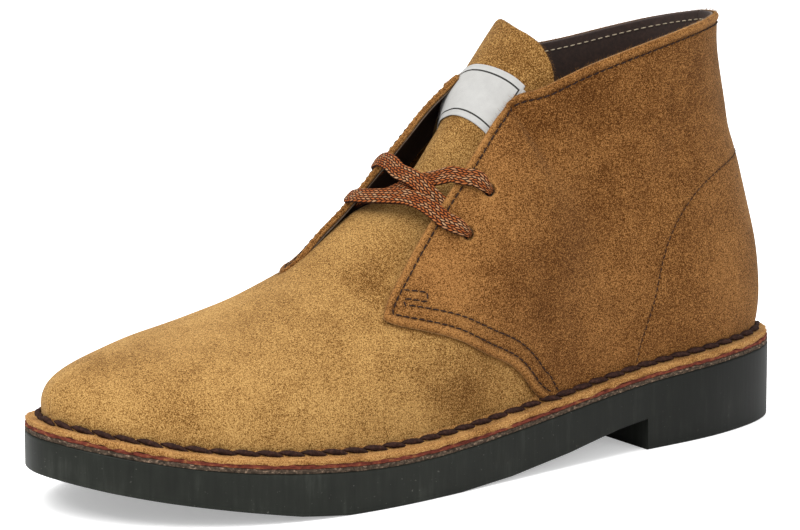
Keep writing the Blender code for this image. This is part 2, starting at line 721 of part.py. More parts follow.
def eyelet_cutter(name, side, d, z, cutters):
    u, t = skin_place(side, d, z)
    centre, axis = skin(side, u, t), skin_normal(side, u, t)
    helper = np.cross(axis, [0, 0, 1.0])
    helper /= np.linalg.norm(helper)
    other = np.cross(axis, helper)
    angles = np.linspace(0, 2 * math.pi, 20, endpoint=False)
    ring = [EYELET_BORE / 2 * (math.cos(a) * helper + math.sin(a) * other) for a in angles]
    points = [centre + axis * h + r for h in (-CUTTER_REACH, CUTTER_REACH) for r in ring]
    n = len(ring)
    faces = [tuple(range(n)), tuple(range(n, 2 * n))]
    faces += [(i, (i + 1) % n, n + (i + 1) % n, n + i) for i in range(n)]
    made = add_object(name, points, faces, cutters)
    made.hide_render = True
    return made


def label(grid, normal, collection, mat):
    """A blank woven label, bent to the tongue near the top."""
    first = int(len(grid) - len(TONGUE_TOP) - 5)
    centre = grid.shape[1] // 2
    spine = grid[first:, centre]
    run = np.concatenate([[0], np.cumsum(np.linalg.norm(np.diff(spine, axis=0), axis=1))])
    low = run[-1] - LABEL_HEIGHT - LABEL_DROP
    rows, rows_n = [], []
    for at in np.linspace(low, low + LABEL_HEIGHT, 7):
        line, face = (
            np.array([[np.interp(at, run, net[first:, j, k]) for k in range(3)] for j in range(net.shape[1])])
            for net in (grid, normal)
        )
        width = np.concatenate([[0], np.cumsum(np.linalg.norm(np.diff(line, axis=0), axis=1))])
        width -= width[centre]
        places = np.linspace(-LABEL_WIDTH / 2, LABEL_WIDTH / 2, 13)
        rows.append(np.stack([np.interp(places, width, line[:, k]) for k in range(3)], 1))
        rows_n.append(np.stack([np.interp(places, width, face[:, k]) for k in range(3)], 1))
    sheet, face = np.array(rows), np.array(rows_n)
    n, m = sheet.shape[:2]
    low_side = (sheet + face * GAP).reshape(-1, 3)
    high_side = (sheet + face * (GAP + LABEL_THICK)).reshape(-1, 3)
    points = np.concatenate([low_side, high_side])
    quads = []
    for i in range(n - 1):
        for j in range(m - 1):
            q = (i * m + j, i * m + j + 1, (i + 1) * m + j + 1, (i + 1) * m + j)
            quads += [q, tuple(n * m + k for k in q[::-1])]
    edge = [j for j in range(m)] + [i * m + m - 1 for i in range(1, n)]
    edge += [(n - 1) * m + j for j in range(m - 2, -1, -1)] + [i * m for i in range(n - 2, 0, -1)]
    quads += [(a, b, n * m + b, n * m + a) for a, b in zip(edge, edge[1:] + edge[:1])]
    return add_object("tongue_label", points, quads, collection, mat)


def main():
    for old in list(bpy.data.objects):
        bpy.data.objects.remove(old)
    scene = bpy.context.scene
    parts = bpy.data.collections.new("parts")
    cutters = bpy.data.collections.new("cutters")
    scene.collection.children.link(parts)
    scene.collection.children.link(cutters)

    rubber = material("rubber_black", (0.035, 0.036, 0.031), 0.55)
    runner_mat = material("runner_grey_brown", (0.13, 0.095, 0.07), 0.8)
    welt_leather = material("midsole_leather", (0.33, 0.13, 0.07), 0.6)
    insole_mat = material("insole_leather", (0.30, 0.20, 0.12), 0.7)
    suede = material("suede_tan", (0.30, 0.145, 0.05), 0.9)
    tongue_mat = material("tongue_suede", (0.36, 0.18, 0.065), 0.9)
    lace_mat = material("lace_woven", (0.33, 0.13, 0.05), 0.7)
    label_mat = material("label_woven", (0.80, 0.78, 0.72), 0.8)

    slab("outsole", parts, rubber, 0.0, tread, sole_top, chamfer=SOLE_CHAMFER)
    low = lambda d: sole_top(d) + GAP
    slab("runner", parts, runner_mat, RUNNER_INSET, low, lambda d: low(d) + RUNNER_THICK)
    high = lambda d: sole_top(d) + 2 * GAP + RUNNER_THICK
    slab("midsole", parts, welt_leather, MIDSOLE_INSET, high, lambda d: high(d) + MIDSOLE_THICK)
    seat = lambda d: sole_top(d) + 3 * GAP + RUNNER_THICK + MIDSOLE_THICK
    inside_edge = UPPER_MARGIN + VAMP_WALL + 2 * GAP
    slab("insole", parts, insole_mat, inside_edge, seat, lambda d: seat(d) + INSOLE_THICK)

    upper = lasting_shell(parts, suede)
    quarters = quarter_shell(cutters, suede)
    line = side_line(QUARTER_EDGE)
    far = SOLE_LENGTH * 1.3
    front = np.concatenate([line, [[far, line[-1][1]], [far, line[0][1]]]])
    front_cutter = side_prism("front_cutter", front, cutters)
    slot_cutter = side_prism("slot_cutter", side_line(TONGUE_SLOT), cutters)
    combine(quarters, front_cutter, "DIFFERENCE")
    combine(upper, slot_cutter, "DIFFERENCE")
    quarters.hide_render = True
    combine(upper, quarters, "UNION")
    for k, (d, z) in enumerate(EYELETS):
        for side, tag in ((1, "outer"), (-1, "inner")):
            cutter = eyelet_cutter(f"eyelet_{tag}_{k + 1}", side, d * SOLE_LENGTH, z * COLLAR_HEIGHT, cutters)
            combine(upper, cutter, "DIFFERENCE")

    slip, grid, normal = tongue(parts, tongue_mat)
    slot = side_line(TONGUE_SLOT)
    slot = slot + np.array([(-GAP, 0), (-GAP, SLOT_RELIEF)] + [(SLOT_RELIEF, SLOT_RELIEF)] * 8)
    window = side_prism("tongue_window", slot, cutters)
    combine(slip, window, "INTERSECT")
    label(grid, normal, parts, label_mat)

    lace = ribbon("lace", LACE_BAR, parts, lace_mat)
    for name, path in (("strap_rising", LACE_RISING), ("strap_crossing", LACE_CROSSING)):
        strap = ribbon(name, path, cutters, lace_mat)
        strap.hide_render = True
        combine(lace, strap, "UNION")


main()
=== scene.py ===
"""The looks of a left chukka boot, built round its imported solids. Metres, floor at z = 0.

The toe points along -Y, +X is the outer side of the foot, and the origin is the centre of the
heel's rest. Points are worked out as (x, d, z), where d is the distance forward of the heel's
rearmost point, and turned into the frame's axes at the end. A place on the last's skin is a side
(1 outer, -1 inner), u along the sole's outline from the toe (0) to the back of the heel (1), and
t from the feather line (0) to the top line (1).
"""

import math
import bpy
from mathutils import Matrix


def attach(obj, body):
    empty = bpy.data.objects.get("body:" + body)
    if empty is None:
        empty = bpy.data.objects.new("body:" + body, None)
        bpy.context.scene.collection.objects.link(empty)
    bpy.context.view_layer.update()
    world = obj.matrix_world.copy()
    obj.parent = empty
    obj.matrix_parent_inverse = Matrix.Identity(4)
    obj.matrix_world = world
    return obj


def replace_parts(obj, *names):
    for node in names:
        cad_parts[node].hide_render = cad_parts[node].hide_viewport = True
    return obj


bl_info = {
    "name": "Chukka boot",
    "version": (1, 0, 0),
    "blender": (4, 5, 0),
    "location": "3D View > Sidebar > Boot",
    "description": "A left suede chukka boot with its seams, stitches, lace and moulded sole",
    "category": "Add Mesh",
}

import bmesh
import bpy
import numpy as np
from bpy.props import FloatProperty, FloatVectorProperty, PointerProperty
from mathutils import Vector, geometry

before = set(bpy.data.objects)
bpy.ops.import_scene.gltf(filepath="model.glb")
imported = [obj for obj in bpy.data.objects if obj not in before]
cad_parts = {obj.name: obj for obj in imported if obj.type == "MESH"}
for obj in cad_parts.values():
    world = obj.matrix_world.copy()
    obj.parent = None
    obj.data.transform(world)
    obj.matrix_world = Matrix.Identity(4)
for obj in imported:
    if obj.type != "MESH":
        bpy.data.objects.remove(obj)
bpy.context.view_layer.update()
MM = 0.001

# Sizes in metres. Those of the sole, the last and the layers are as in the part's source.
SOLE_LENGTH = 0.303
BALL_WIDTH = 0.106
COLLAR_HEIGHT = 0.150
HEEL_REST_LENGTH = 0.0767
HEEL_BREAST = 0.0113
UPPER_MARGIN = 0.0062
RUNNER_THICK = 0.0013
MIDSOLE_THICK = 0.0011
FLANGE_THICK = 0.0017
GAP = 0.0003
RUNNER_INSET = 0.0003
MIDSOLE_INSET = 0.0005
LAYERS = 3 * GAP + RUNNER_THICK + MIDSOLE_THICK + FLANGE_THICK
EYELET_BORE = 0.0040
LACE_WIDTH = 0.0062
LACE_THICK = 0.0018
LABEL_THICK = 0.0005
# The sheets of the upper, and the rounding of their cut edges.
VAMP_THICK = 0.0016
QUARTER_THICK = 0.0016
LINING_THICK = 0.0009
EDGE_ROUND = 0.0007
# How far a quarter stands over the last, and how far its collar rises over the top line.
QUARTER_STEP = 0.0015
COLLAR_RISE = 0.0008
# How far the tongue's sides lie under the last's skin, and how much more its inner side does by the lace.
TONGUE_SINK = 0.0037
TONGUE_FALL = 0.0080

# Sole outline: distance forward of the heel (of SOLE_LENGTH), outer and inner half width (of BALL_WIDTH).
OUTLINE = (
    (0.0133, 0.1462, 0.1509),
    (0.0400, 0.2170, 0.2500),
    (0.0900, 0.2830, 0.3160),
    (0.1500, 0.3283, 0.3396),
    (0.2500, 0.3585, 0.3349),
    (0.3667, 0.3991, 0.2972),
    (0.5000, 0.4557, 0.3255),
    (0.6333, 0.5113, 0.4198),
    (0.7167, 0.5170, 0.4764),
    (0.8000, 0.4849, 0.4764),
    (0.8733, 0.4132, 0.4245),
    (0.9333, 0.3038, 0.3396),
    (0.9700, 0.1887, 0.2500),
    (0.9900, 0.0849, 0.1557),
)
TOE_TIP_X = -0.0377
# Height of the rubber's top (of COLLAR_HEIGHT) at a distance forward of the heel (of SOLE_LENGTH).
SOLE_TOP = (
    (0.0000, 0.1833),
    (0.1320, 0.1767),
    (0.2475, 0.1633),
    (0.3630, 0.1373),
    (0.4950, 0.1080),
    (0.6271, 0.0947),
    (0.7591, 0.1073),
    (0.8746, 0.1340),
    (0.9901, 0.1773),
)
# Height of the tread forward of the breast (of HEEL_BREAST).
TREAD = (
    (0.2530, 1.0000),
    (0.3000, 0.8500),
    (0.3800, 0.4500),
    (0.4700, 0.1300),
    (0.5500, 0.0000),
    (0.6300, 0.0000),
    (0.7100, 0.0000),
    (0.7700, 0.1500),
    (0.8400, 0.4700),
    (0.9100, 0.8000),
    (0.9600, 1.0600),
    (1.0000, 1.3000),
)
# The last's top line: u along the ridge, or place along the collar, and x of BALL_WIDTH, d of SOLE_LENGTH,
# z of COLLAR_HEIGHT.
RIDGE_END = 0.6
RIDGE = (
    (0.000, -0.0660, 0.9290, 0.3233),
    (0.050, -0.0720, 0.9190, 0.3290),
    (0.100, -0.0800, 0.8950, 0.3390),
    (0.200, -0.0900, 0.8150, 0.3660),
    (0.300, -0.0943, 0.7180, 0.4110),
    (0.400, -0.0755, 0.6172, 0.5133),
    (0.500, -0.0472, 0.5182, 0.6933),
    (0.600, -0.0283, 0.4191, 0.8817),
)
COLLAR_OUTER = (
    (0.000, -0.0283, 0.4191, 0.8817),
    (0.130, 0.0943, 0.4125, 0.8767),
    (0.270, 0.1981, 0.3911, 0.8700),
    (0.420, 0.2736, 0.3465, 0.9133),
    (0.560, 0.3160, 0.2871, 0.9553),
    (0.700, 0.3190, 0.2145, 0.9890),
    (0.840, 0.2440, 0.1396, 1.0090),
    (0.930, 0.1275, 0.0990, 1.0090),
    (1.000, -0.0094, 0.0792, 1.0000),
)
COLLAR_INNER = (
    (0.000, -0.0283, 0.4191, 0.8817),
    (0.130, -0.1415, 0.4125, 0.8720),
    (0.270, -0.2358, 0.3894, 0.8560),
    (0.420, -0.2925, 0.3465, 0.8860),
    (0.560, -0.3208, 0.2871, 0.9110),
    (0.700, -0.3208, 0.2145, 0.9245),
    (0.840, -0.2500, 0.1386, 0.9560),
    (0.930, -0.1509, 0.0957, 0.9800),
    (1.000, -0.0094, 0.0792, 1.0000),
)
# Shape of a column: u, outward lean at the feather in degrees, its handle (of COLLAR_HEIGHT), the
# direction x, d, z in which it reaches the top line, and the handle there (of COLLAR_HEIGHT).
COLUMNS_OUTER = (
    (0.00, 16, 0.0600, 0, -1, 0.22, 0.0933),
    (0.10, 13, 0.0800, -0.8, -0.6, 0.1, 0.1333),
    (0.20, 8, 0.1333, -1, -0.2, 0.02, 0.2000),
    (0.30, 6, 0.1733, -1, -0.05, 0, 0.1933),
    (0.40, 8, 0.2267, -1, 0, 0, 0.1600),
    (0.50, 6, 0.2933, -1, 0, 0, 0.1800),
    (0.60, 4, 0.3467, -1, 0.04, 0.04, 0.2267),
    (0.66, 4, 0.3333, -0.55, 0.12, 0.6, 0.2000),
    (0.71, 6, 0.3067, -0.3, 0.14, 1, 0.2000),
    (0.76, 10, 0.2667, 0, 0.1, 1, 0.2133),
    (0.82, 15, 0.2400, 0.08, 0.03, 1, 0.2267),
    (0.88, 16, 0.2267, 0.1, 0, 1, 0.2267),
    (0.95, 14, 0.2267, 0.05, -0.06, 1, 0.2267),
    (1.00, 12, 0.2267, 0, -0.1, 1, 0.2267),
)
COLUMNS_INNER = (
    (0.00, 16, 0.0600, 0, -1, 0.22, 0.0933),
    (0.10, 11, 0.0800, 0.8, -0.6, 0.1, 0.1200),
    (0.20, 3, 0.1467, 1, -0.2, 0.02, 0.1600),
    (0.30, 3, 0.2000, 1, -0.05, 0, 0.1467),
    (0.40, 10, 0.2533, 1, 0, 0, 0.1200),
    (0.50, 13, 0.2933, 1, 0, 0, 0.1667),
    (0.60, 12, 0.3467, 1, 0.04, 0.04, 0.2200),
    (0.66, 12, 0.3333, 0.5, 0.12, 0.6, 0.2000),
    (0.71, 12, 0.3067, 0.25, 0.14, 1, 0.2000),
    (0.76, 13, 0.2667, 0, 0.1, 1, 0.2133),
    (0.82, 15, 0.2400, -0.08, 0.03, 1, 0.2267),
    (0.88, 14, 0.2267, -0.1, 0, 1, 0.2267),
    (0.95, 14, 0.2267, -0.05, -0.06, 1, 0.2267),
    (1.00, 12, 0.2267, 0, -0.1, 1, 0.2267),
)
# Side-view lines of the quarters, d of SOLE_LENGTH and z of COLLAR_HEIGHT: the lower front edge from the
# welt up to the corner, and the facing's edge from the corner up to the collar.
LOWER_EDGE = (
    (0.4125, 0.1550),
    (0.4205, 0.1830),
    (0.4373, 0.2187),
    (0.4600, 0.2610),
    (0.4967, 0.2993),
    (0.5360, 0.3413),
    (0.5630, 0.3620),
    (0.5884, 0.3780),
    (0.6070, 0.3890),
    (0.6180, 0.3960),
)
FACING_EDGE = (
    (0.6180, 0.4020),
    (0.6060, 0.4300),
    (0.5875, 0.4667),
    (0.5571, 0.5280),
    (0.5284, 0.5900),
    (0.5059, 0.6387),
    (0.4726, 0.7120),
    (0.4379, 0.7873),
    (0.4150, 0.8270),
)
# The outer facing's top, and the inner quarter's lower edge and facing, as u, t.
FACING_TOP = ((0.640, 0.885), (0.664, 0.942), (0.684, 0.980), (0.700, 0.997))
INNER_LOWER = (
    (0.600, 0.000),
    (0.540, 0.140),
    (0.500, 0.240),
    (0.460, 0.350),
    (0.430, 0.460),
    (0.405, 0.580),
    (0.385, 0.700),
    (0.370, 0.800),
    (0.366, 0.855),
)
INNER_FACING = (
    (0.368, 0.882),
    (0.390, 0.900),
    (0.420, 0.915),
    (0.450, 0.925),
    (0.480, 0.930),
    (0.510, 0.930),
    (0.540, 0.930),
    (0.570, 0.930),
    (0.600, 0.945),
    (0.635, 0.965),
    (0.665, 0.985),
    (0.700, 0.998),
)
# Centres of the eyelets of each side, the upper one first, as u, t.
EYELETS = {1: ((0.554, 0.584), (0.5205, 0.521)), -1: ((0.500, 0.845), (0.466, 0.845))}
# The tongue's top: place across (of its reach) and rise over the collar (of COLLAR_HEIGHT).
TONGUE_TOP = (
    (-1.00, 0.1000),
    (-0.85, 0.1400),
    (-0.60, 0.1650),
    (-0.35, 0.1760),
    (-0.20, 0.1790),
    (0.125, 0.1690),
    (0.375, 0.1710),
    (0.55, 0.1785),
    (0.70, 0.1830),
    (0.85, 0.1845),
    (1.00, 0.1835),
    (1.10, 0.1780),
    (1.20, 0.1600),
    (1.27, 0.1300),
)
# The way the tongue runs on past the ridge (back, up), and how much its outer edge flares there.
TONGUE_TOP_PATH = (-0.60, 0.80)
TONGUE_FLARE = 0.27
# How far the tongue's net reaches down the sides at a u (in t), where its slits start, and how far the
# vamp's sides are drawn apart from it past there.
TONGUE_REACH = ((0.36, 0.60), (0.434, 0.545), (0.49, 0.455), (0.54, 0.375), (0.60, 0.30))
TONGUE_SLIT = 0.434
SLIT_WIDTH = 0.07
# How far the tongue lies under the last's skin, at a u, in millimetres.
TONGUE_DIP = (
    (0.42, 0.0),
    (0.45, 1.0),
    (0.48, 3.5),
    (0.50, 4.8),
    (0.52, 4.4),
    (0.54, 2.9),
    (0.56, 1.5),
    (0.58, 0.2),
    (0.60, -0.8),
)

# Lace paths: side, u, t on the skin, and height over it (of LACE_THICK).
LACE_PATHS = {
    "lace_bar": (
        (1, 0.5205, 0.519, -0.60),
        (1, 0.5195, 0.524, 0.90),
        (1, 0.516, 0.537, 1.75),
        (1, 0.512, 0.560, 1.95),
        (1, 0.504, 0.605, 2.05),
        (1, 0.500, 0.645, 2.10),
        (1, 0.496, 0.690, 2.10),
        (1, 0.491, 0.737, 2.10),
        (1, 0.484, 0.790, 2.10),
        (1, 0.476, 0.840, 2.10),
        (1, 0.468, 0.900, 2.20),
        (1, 0.462, 0.960, 2.40),
        (-1, 0.460, 0.980, 2.40),
        (-1, 0.460, 0.950, 2.25),
        (-1, 0.461, 0.915, 2.10),
        (-1, 0.464, 0.880, 1.80),
        (-1, 0.466, 0.855, 0.90),
        (-1, 0.467, 0.846, -0.60),
    ),
    "lace_rising": (
        (1, 0.555, 0.582, -0.60),
        (1, 0.554, 0.588, 0.90),
        (1, 0.550, 0.610, 1.85),
        (1, 0.546, 0.640, 2.00),
        (1, 0.536, 0.675, 2.05),
        (1, 0.528, 0.715, 1.80),
        (1, 0.520, 0.740, 1.50),
        (1, 0.512, 0.770, 1.15),
        (1, 0.500, 0.815, 1.10),
        (1, 0.484, 0.875, 0.70),
        (1, 0.474, 0.930, 0.20),
        (-1, 0.468, 0.970, -0.10),
        (-1, 0.466, 0.910, -0.30),
        (-1, 0.466, 0.870, -0.40),
    ),
    "lace_crossing": (
        (-1, 0.500, 0.848, -0.60),
        (-1, 0.500, 0.853, 0.90),
        (-1, 0.500, 0.870, 1.70),
        (-1, 0.501, 0.905, 2.10),
        (-1, 0.501, 0.945, 2.40),
        (-1, 0.500, 0.985, 2.60),
        (1, 0.498, 0.950, 2.60),
        (1, 0.496, 0.900, 2.45),
        (1, 0.498, 0.850, 2.40),
        (1, 0.500, 0.800, 2.35),
        (1, 0.501, 0.765, 2.10),
        (1, 0.502, 0.730, 1.50),
        (1, 0.505, 0.690, 0.90),
        (1, 0.508, 0.655, 0.30),
        (1, 0.510, 0.625, -0.10),
    ),
}

# The blank label on the tongue: its size, how far it is under the tongue's top, how far to the outer
# side, how far its outer end rises for its length, the notch at its corners, and the frame woven on it.
LABEL_WIDTH = 0.0400
LABEL_HEIGHT = 0.0224
LABEL_DROP = 0.0180
LABEL_SHIFT = 0.0045
LABEL_TILT = 0.24
LABEL_NOTCH = 0.0014
LABEL_FRAME_IN = 0.0026
LABEL_FRAME_WIDE = 0.00064

# Where the seams run, as distances in from the cut edges, and the furrow that they draw in the suede.
EDGE_ROW = 0.0033
LOWER_ROW = 0.0031
SECOND_ROW = 0.0072
SEAM_DEPTH = 0.0004
SEAM_WIDTH = 0.0006
# The bar tack where the second row starts, and the heel counter's row, as u, t.
TACK = ((0.440, 0.510), (0.460, 0.455), (0.456, 0.430), (0.436, 0.485), (0.432, 0.470))
COUNTER_ROW = (
    (0.724, 0.010),
    (0.729, 0.060),
    (0.746, 0.155),
    (0.768, 0.262),
    (0.794, 0.366),
    (0.824, 0.448),
    (0.860, 0.512),
    (0.904, 0.552),
    (0.950, 0.568),
    (1.000, 0.576),
)
# Soft folds: side, u and t of both ends, half width and depth in millimetres, negative for a ridge.
FOLDS = (
    (1, 0.36, 0.98, 0.40, 0.62, 9.0, 0.55),
    (1, 0.40, 0.60, 0.43, 0.40, 8.0, 0.45),
    (-1, 0.36, 0.98, 0.41, 0.60, 9.0, 0.50),
    (1, 0.31, 0.96, 0.33, 0.55, 10.0, -0.35),
    (1, 0.08, 0.75, 0.16, 0.55, 8.0, 0.30),
    (1, 0.700, 0.30, 0.735, 0.62, 7.0, 0.70),
    (1, 0.735, 0.62, 0.770, 0.86, 8.0, 0.60),
    (1, 0.800, 0.52, 0.860, 0.66, 6.0, 0.55),
    (1, 0.860, 0.66, 0.960, 0.64, 7.0, 0.60),
    (1, 0.660, 0.45, 0.690, 0.70, 8.0, -0.45),
    (1, 0.640, 0.20, 0.680, 0.34, 9.0, 0.50),
    (-1, 0.700, 0.30, 0.740, 0.62, 8.0, 0.70),
    (-1, 0.800, 0.55, 0.880, 0.66, 7.0, 0.55),
    (-1, 0.660, 0.45, 0.690, 0.70, 8.0, -0.45),
    (-1, 0.480, 0.30, 0.560, 0.30, 9.0, 0.60),
)
# Patches of the nap, mottling and in places painted shade, as on the vamp beside the outer facing and by
# the lace: side, u, t, radius in millimetres, and how much darker (-) or lighter (+).
NAP_AND_SHADE_PATCHES = (
    (1, 0.07, 0.85, 16, -0.42),
    (1, 0.15, 0.42, 12, -0.22),
    (1, 0.03, 0.60, 14, 0.18),
    (1, 0.385, 0.86, 15, -0.16),
    (1, 0.41, 0.66, 10, -0.34),
    (1, 0.45, 0.72, 8, -0.24),
    (1, 0.49, 0.10, 13, -0.52),
    (1, 0.44, 0.25, 14, -0.22),
    (1, 0.27, 0.75, 22, -0.16),
    (1, 0.33, 0.35, 20, -0.04),
    (1, 0.30, 0.12, 14, 0.16),
    (1, 0.46, 0.90, 13, 0.26),
    (1, 0.480, 0.50, 12, 0.36),
    (1, 0.560, 0.62, 20, 0.26),
    (1, 0.700, 0.55, 12, -0.20),
    (1, 0.620, 0.80, 12, -0.12),
    (1, 0.50, 0.36, 12, 0.30),
    (1, 0.58, 0.30, 18, -0.16),
    (1, 0.64, 0.12, 18, -0.08),
    (1, 0.66, 0.62, 18, 0.20),
    (1, 0.76, 0.82, 22, -0.20),
    (1, 0.82, 0.93, 16, -0.16),
    (1, 0.93, 0.88, 14, -0.22),
    (1, 0.80, 0.30, 13, 0.08),
    (1, 0.87, 0.20, 13, 0.26),
    (1, 0.94, 0.26, 12, -0.16),
    (-1, 0.10, 0.70, 16, -0.20),
    (-1, 0.385, 0.80, 15, -0.35),
    (-1, 0.48, 0.12, 15, -0.35),
    (-1, 0.30, 0.60, 24, 0.18),
    (-1, 0.62, 0.40, 20, 0.12),
    (-1, 0.78, 0.75, 22, -0.18),
    (-1, 0.86, 0.25, 15, 0.20),
)
# The turned-out margin: rows on the wall, up the skin and out of it, then rows from the wall over the
# welt, round the cut edge and back under, in from the sole's outline and up. Millimetres.
MARGIN_WALL = ((3.4, -0.7), (2.6, -0.25), (1.9, 0.05), (1.2, 0.5))
MARGIN_PROFILE = (
    (5.6, 0.9),
    (5.0, 0.45),
    (4.2, 0.16),
    (3.3, 0.03),
    (2.4, 0.0),
    (1.6, 0.0),
    (1.05, -0.06),
    (0.72, -0.25),
    (0.52, -0.6),
    (0.42, -1.0),
    (0.40, -1.65),
    (0.70, -2.10),
    (2.0, -1.66),
    (6.4, -1.66),
)
# The camera: where it looks, from how far, and its angles round and above the boot.
CAMERA_TARGET = (-0.005393, -0.116386, 0.069117)
CAMERA_DISTANCE = 1.405995
CAMERA_AZIMUTH = 55.925
CAMERA_ELEVATION = 11.251
CAMERA_LENS = 179.19


def spline(knots, values, at):
    """Natural cubic spline through rows of values."""
    k = np.asarray(knots, float)
    v = np.asarray(values, float)
    at = np.asarray(at, float)
    shape = v.shape[1:]
    v = v.reshape(len(v), -1)
    n, h = len(k), np.diff(k)
    a, b = np.eye(n), np.zeros((n, v.shape[1]))
    for i in range(1, n - 1):
        a[i, i - 1], a[i, i], a[i, i + 1] = h[i - 1], 2 * (h[i - 1] + h[i]), h[i]
        b[i] = 6 * ((v[i + 1] - v[i]) / h[i] - (v[i] - v[i - 1]) / h[i - 1])
    m = np.linalg.solve(a, b)
    i = np.clip(np.searchsorted(k, at) - 1, 0, n - 2)
    p, q = (k[i + 1] - at) / h[i], (at - k[i]) / h[i]
    bend = ((p**3 - p)[:, None] * m[i] + (q**3 - q)[:, None] * m[i + 1]) * (h[i] ** 2)[:, None] / 6
    return (p[:, None] * v[i] + q[:, None] * v[i + 1] + bend).reshape(len(at), *shape)


def smooth_step(x):
    x = np.clip(x, 0, 1)
    return x * x * (3 - 2 * x)


def run_along(path):
    """The distance along a polyline at each of its points."""
    return np.concatenate([[0], np.cumsum(np.linalg.norm(np.diff(path, axis=0), axis=1))])


def unit(vectors):
    return vectors / np.linalg.norm(vectors, axis=-1)[..., None]


def table(rows, *units):
    """Rows of numbers, each column in its unit."""
    return np.array(rows, float) * np.array(units)


def side_line(rows):
    return table(rows, SOLE_LENGTH, COLLAR_HEIGHT)


def outline(side, u):
    """Plan points (x, d) of the sole's outline."""
    rows = table(OUTLINE, SOLE_LENGTH, BALL_WIDTH, BALL_WIDTH)[::-1]
    tip = [[TOE_TIP_X * BALL_WIDTH, SOLE_LENGTH]]
    outer = np.stack([rows[:, 1], rows[:, 0]], 1)
    inner = np.stack([-rows[:, 2], rows[:, 0]], 1)[::-1]
    ring = np.concatenate([tip, outer, [[0, 0]], inner, tip])
    ring = np.concatenate([ring[-5:-1], ring, ring[1:5]])
    s = np.concatenate([[0], np.cumsum(np.hypot(*np.diff(ring, axis=0).T))])
    s -= s[4]
    n = len(rows)
    heel, total = s[5 + n], s[6 + 2 * n]
    u = np.asarray(u, float)
    return spline(s, ring, u * heel if side > 0 else total - u * (total - heel))


def outline_normal(side, u):
    """Unit plan vectors that point out of the sole."""
    u = np.asarray(u, float)
    along = unit(outline(side, u + 1e-3) - outline(side, u - 1e-3))
    return np.stack([-along[:, 1], along[:, 0]], 1) * side


def inset(side, u, amount):
    """Plan points an amount in from the sole's outline."""
    return outline(side, u) - outline_normal(side, u) * np.reshape(amount, (-1, 1))


def sole_top(d):
    rows = table(SOLE_TOP, SOLE_LENGTH, COLLAR_HEIGHT)
    return spline(rows[:, 0], rows[:, 1], d)


def tread(d):
    """Height of the sole's underside: flat under the heel, then the breast's step and the forefoot."""
    rows = table(TREAD, SOLE_LENGTH, HEEL_BREAST)
    d = np.asarray(d, float)
    return np.where(d <= HEEL_REST_LENGTH + GAP / 2, 0.0, np.interp(d, rows[:, 0], rows[:, 1]))


def feather(side, u):
    """The line where the upper's wall meets the layers."""
    p = inset(side, u, UPPER_MARGIN)
    return np.column_stack([p, sole_top(p[:, 1]) + LAYERS])


def top_line(side, u):
    u = np.asarray(u, float)
    ridge = np.array(RIDGE)
    collar = np.array(COLLAR_OUTER if side > 0 else COLLAR_INNER)
    units = (BALL_WIDTH, SOLE_LENGTH, COLLAR_HEIGHT)
    front = spline(ridge[:, 0], ridge[:, 1:] * units, np.minimum(u, RIDGE_END))
    place = np.clip((u - RIDGE_END) / (1 - RIDGE_END), 0, 1)
    rear = spline(collar[:, 0], collar[:, 1:] * units, place)
    return np.where((u <= RIDGE_END)[:, None], front, rear)


def columns(side, u, t):
    """The last's skin as (u, t, xyz), each column a cubic curve from the feather to the top line."""
    u, t = np.asarray(u, float), np.asarray(t, float)
    low, high = feather(side, u), top_line(side, u)
    rows = np.array(COLUMNS_OUTER if side > 0 else COLUMNS_INNER)
    v = spline(rows[:, 0], rows[:, 1:], u)
    lean = np.radians(v[:, 0])[:, None]
    start = np.column_stack([outline_normal(side, u) * np.sin(lean), np.cos(lean)])
    end = unit(v[:, 2:5])
    c1 = low + start * v[:, 1:2] * COLLAR_HEIGHT
    c2 = high - end * v[:, 5:6] * COLLAR_HEIGHT
    s = t[None, :, None]
    return (
        (1 - s) ** 3 * low[:, None]
        + 3 * (1 - s) ** 2 * s * c1[:, None]
        + 3 * (1 - s) * s**2 * c2[:, None]
        + s**3 * high[:, None]
    )


def evened(grid, u, t):
    """Evens out the ankle, where columns that end on the ridge meet those that end on the collar."""
    w = np.clip(1 - np.abs((u - 0.67) / 0.07), 0, 1)[:, None] ** 0.5
    w = (w * np.clip((t - 0.25) / 0.2, 0, 1)[None, :] ** 0.5)[..., None]
    w[:, 0] = w[:, -1] = 0
    for _ in range(14):
        mean = grid.copy()
        mean[1:-1, 1:-1] = (grid[:-2, 1:-1] + grid[2:, 1:-1] + grid[1:-1, :-2] + grid[1:-1, 2:]) / 4
        grid = grid + w * 0.8 * (mean - grid)
    return grid


COARSE_U = np.linspace(0, 1, 101)
COARSE_T = np.linspace(0, 1, 41)
FINE_U = np.linspace(0, 1, 501)
FINE_T = np.linspace(0, 1, 201)


def fine_grid(side):
    coarse = evened(columns(side, COARSE_U, COARSE_T), COARSE_U, COARSE_T)
    along = spline(COARSE_U, coarse, FINE_U)
    return spline(COARSE_T, along.swapaxes(0, 1), FINE_T).swapaxes(0, 1)


FINE = {side: fine_grid(side) for side in (1, -1)}
# Flat pattern coordinates of a side: X runs along the sole, Y up the columns, both about true lengths.
SPAN = 0.380
COLUMN_RUN = {side: np.linalg.norm(np.diff(grid, axis=1), axis=2).sum(1) for side, grid in FINE.items()}


def skin(side, u, t):
    """Points of the last's skin at pairs of u and t."""
    grid = FINE[side]
    u, t = np.clip(np.asarray(u, float), 0, 1), np.clip(np.asarray(t, float), 0, 1)
    a, b = u * (len(FINE_U) - 1), t * (len(FINE_T) - 1)
    i = np.minimum(a.astype(int), len(FINE_U) - 2)
    j = np.minimum(b.astype(int), len(FINE_T) - 2)
    a, b = (a - i)[..., None], (b - j)[..., None]
    low = grid[i, j] * (1 - a) + grid[i + 1, j] * a
    high = grid[i, j + 1] * (1 - a) + grid[i + 1, j + 1] * a
    return low * (1 - b) + high * b


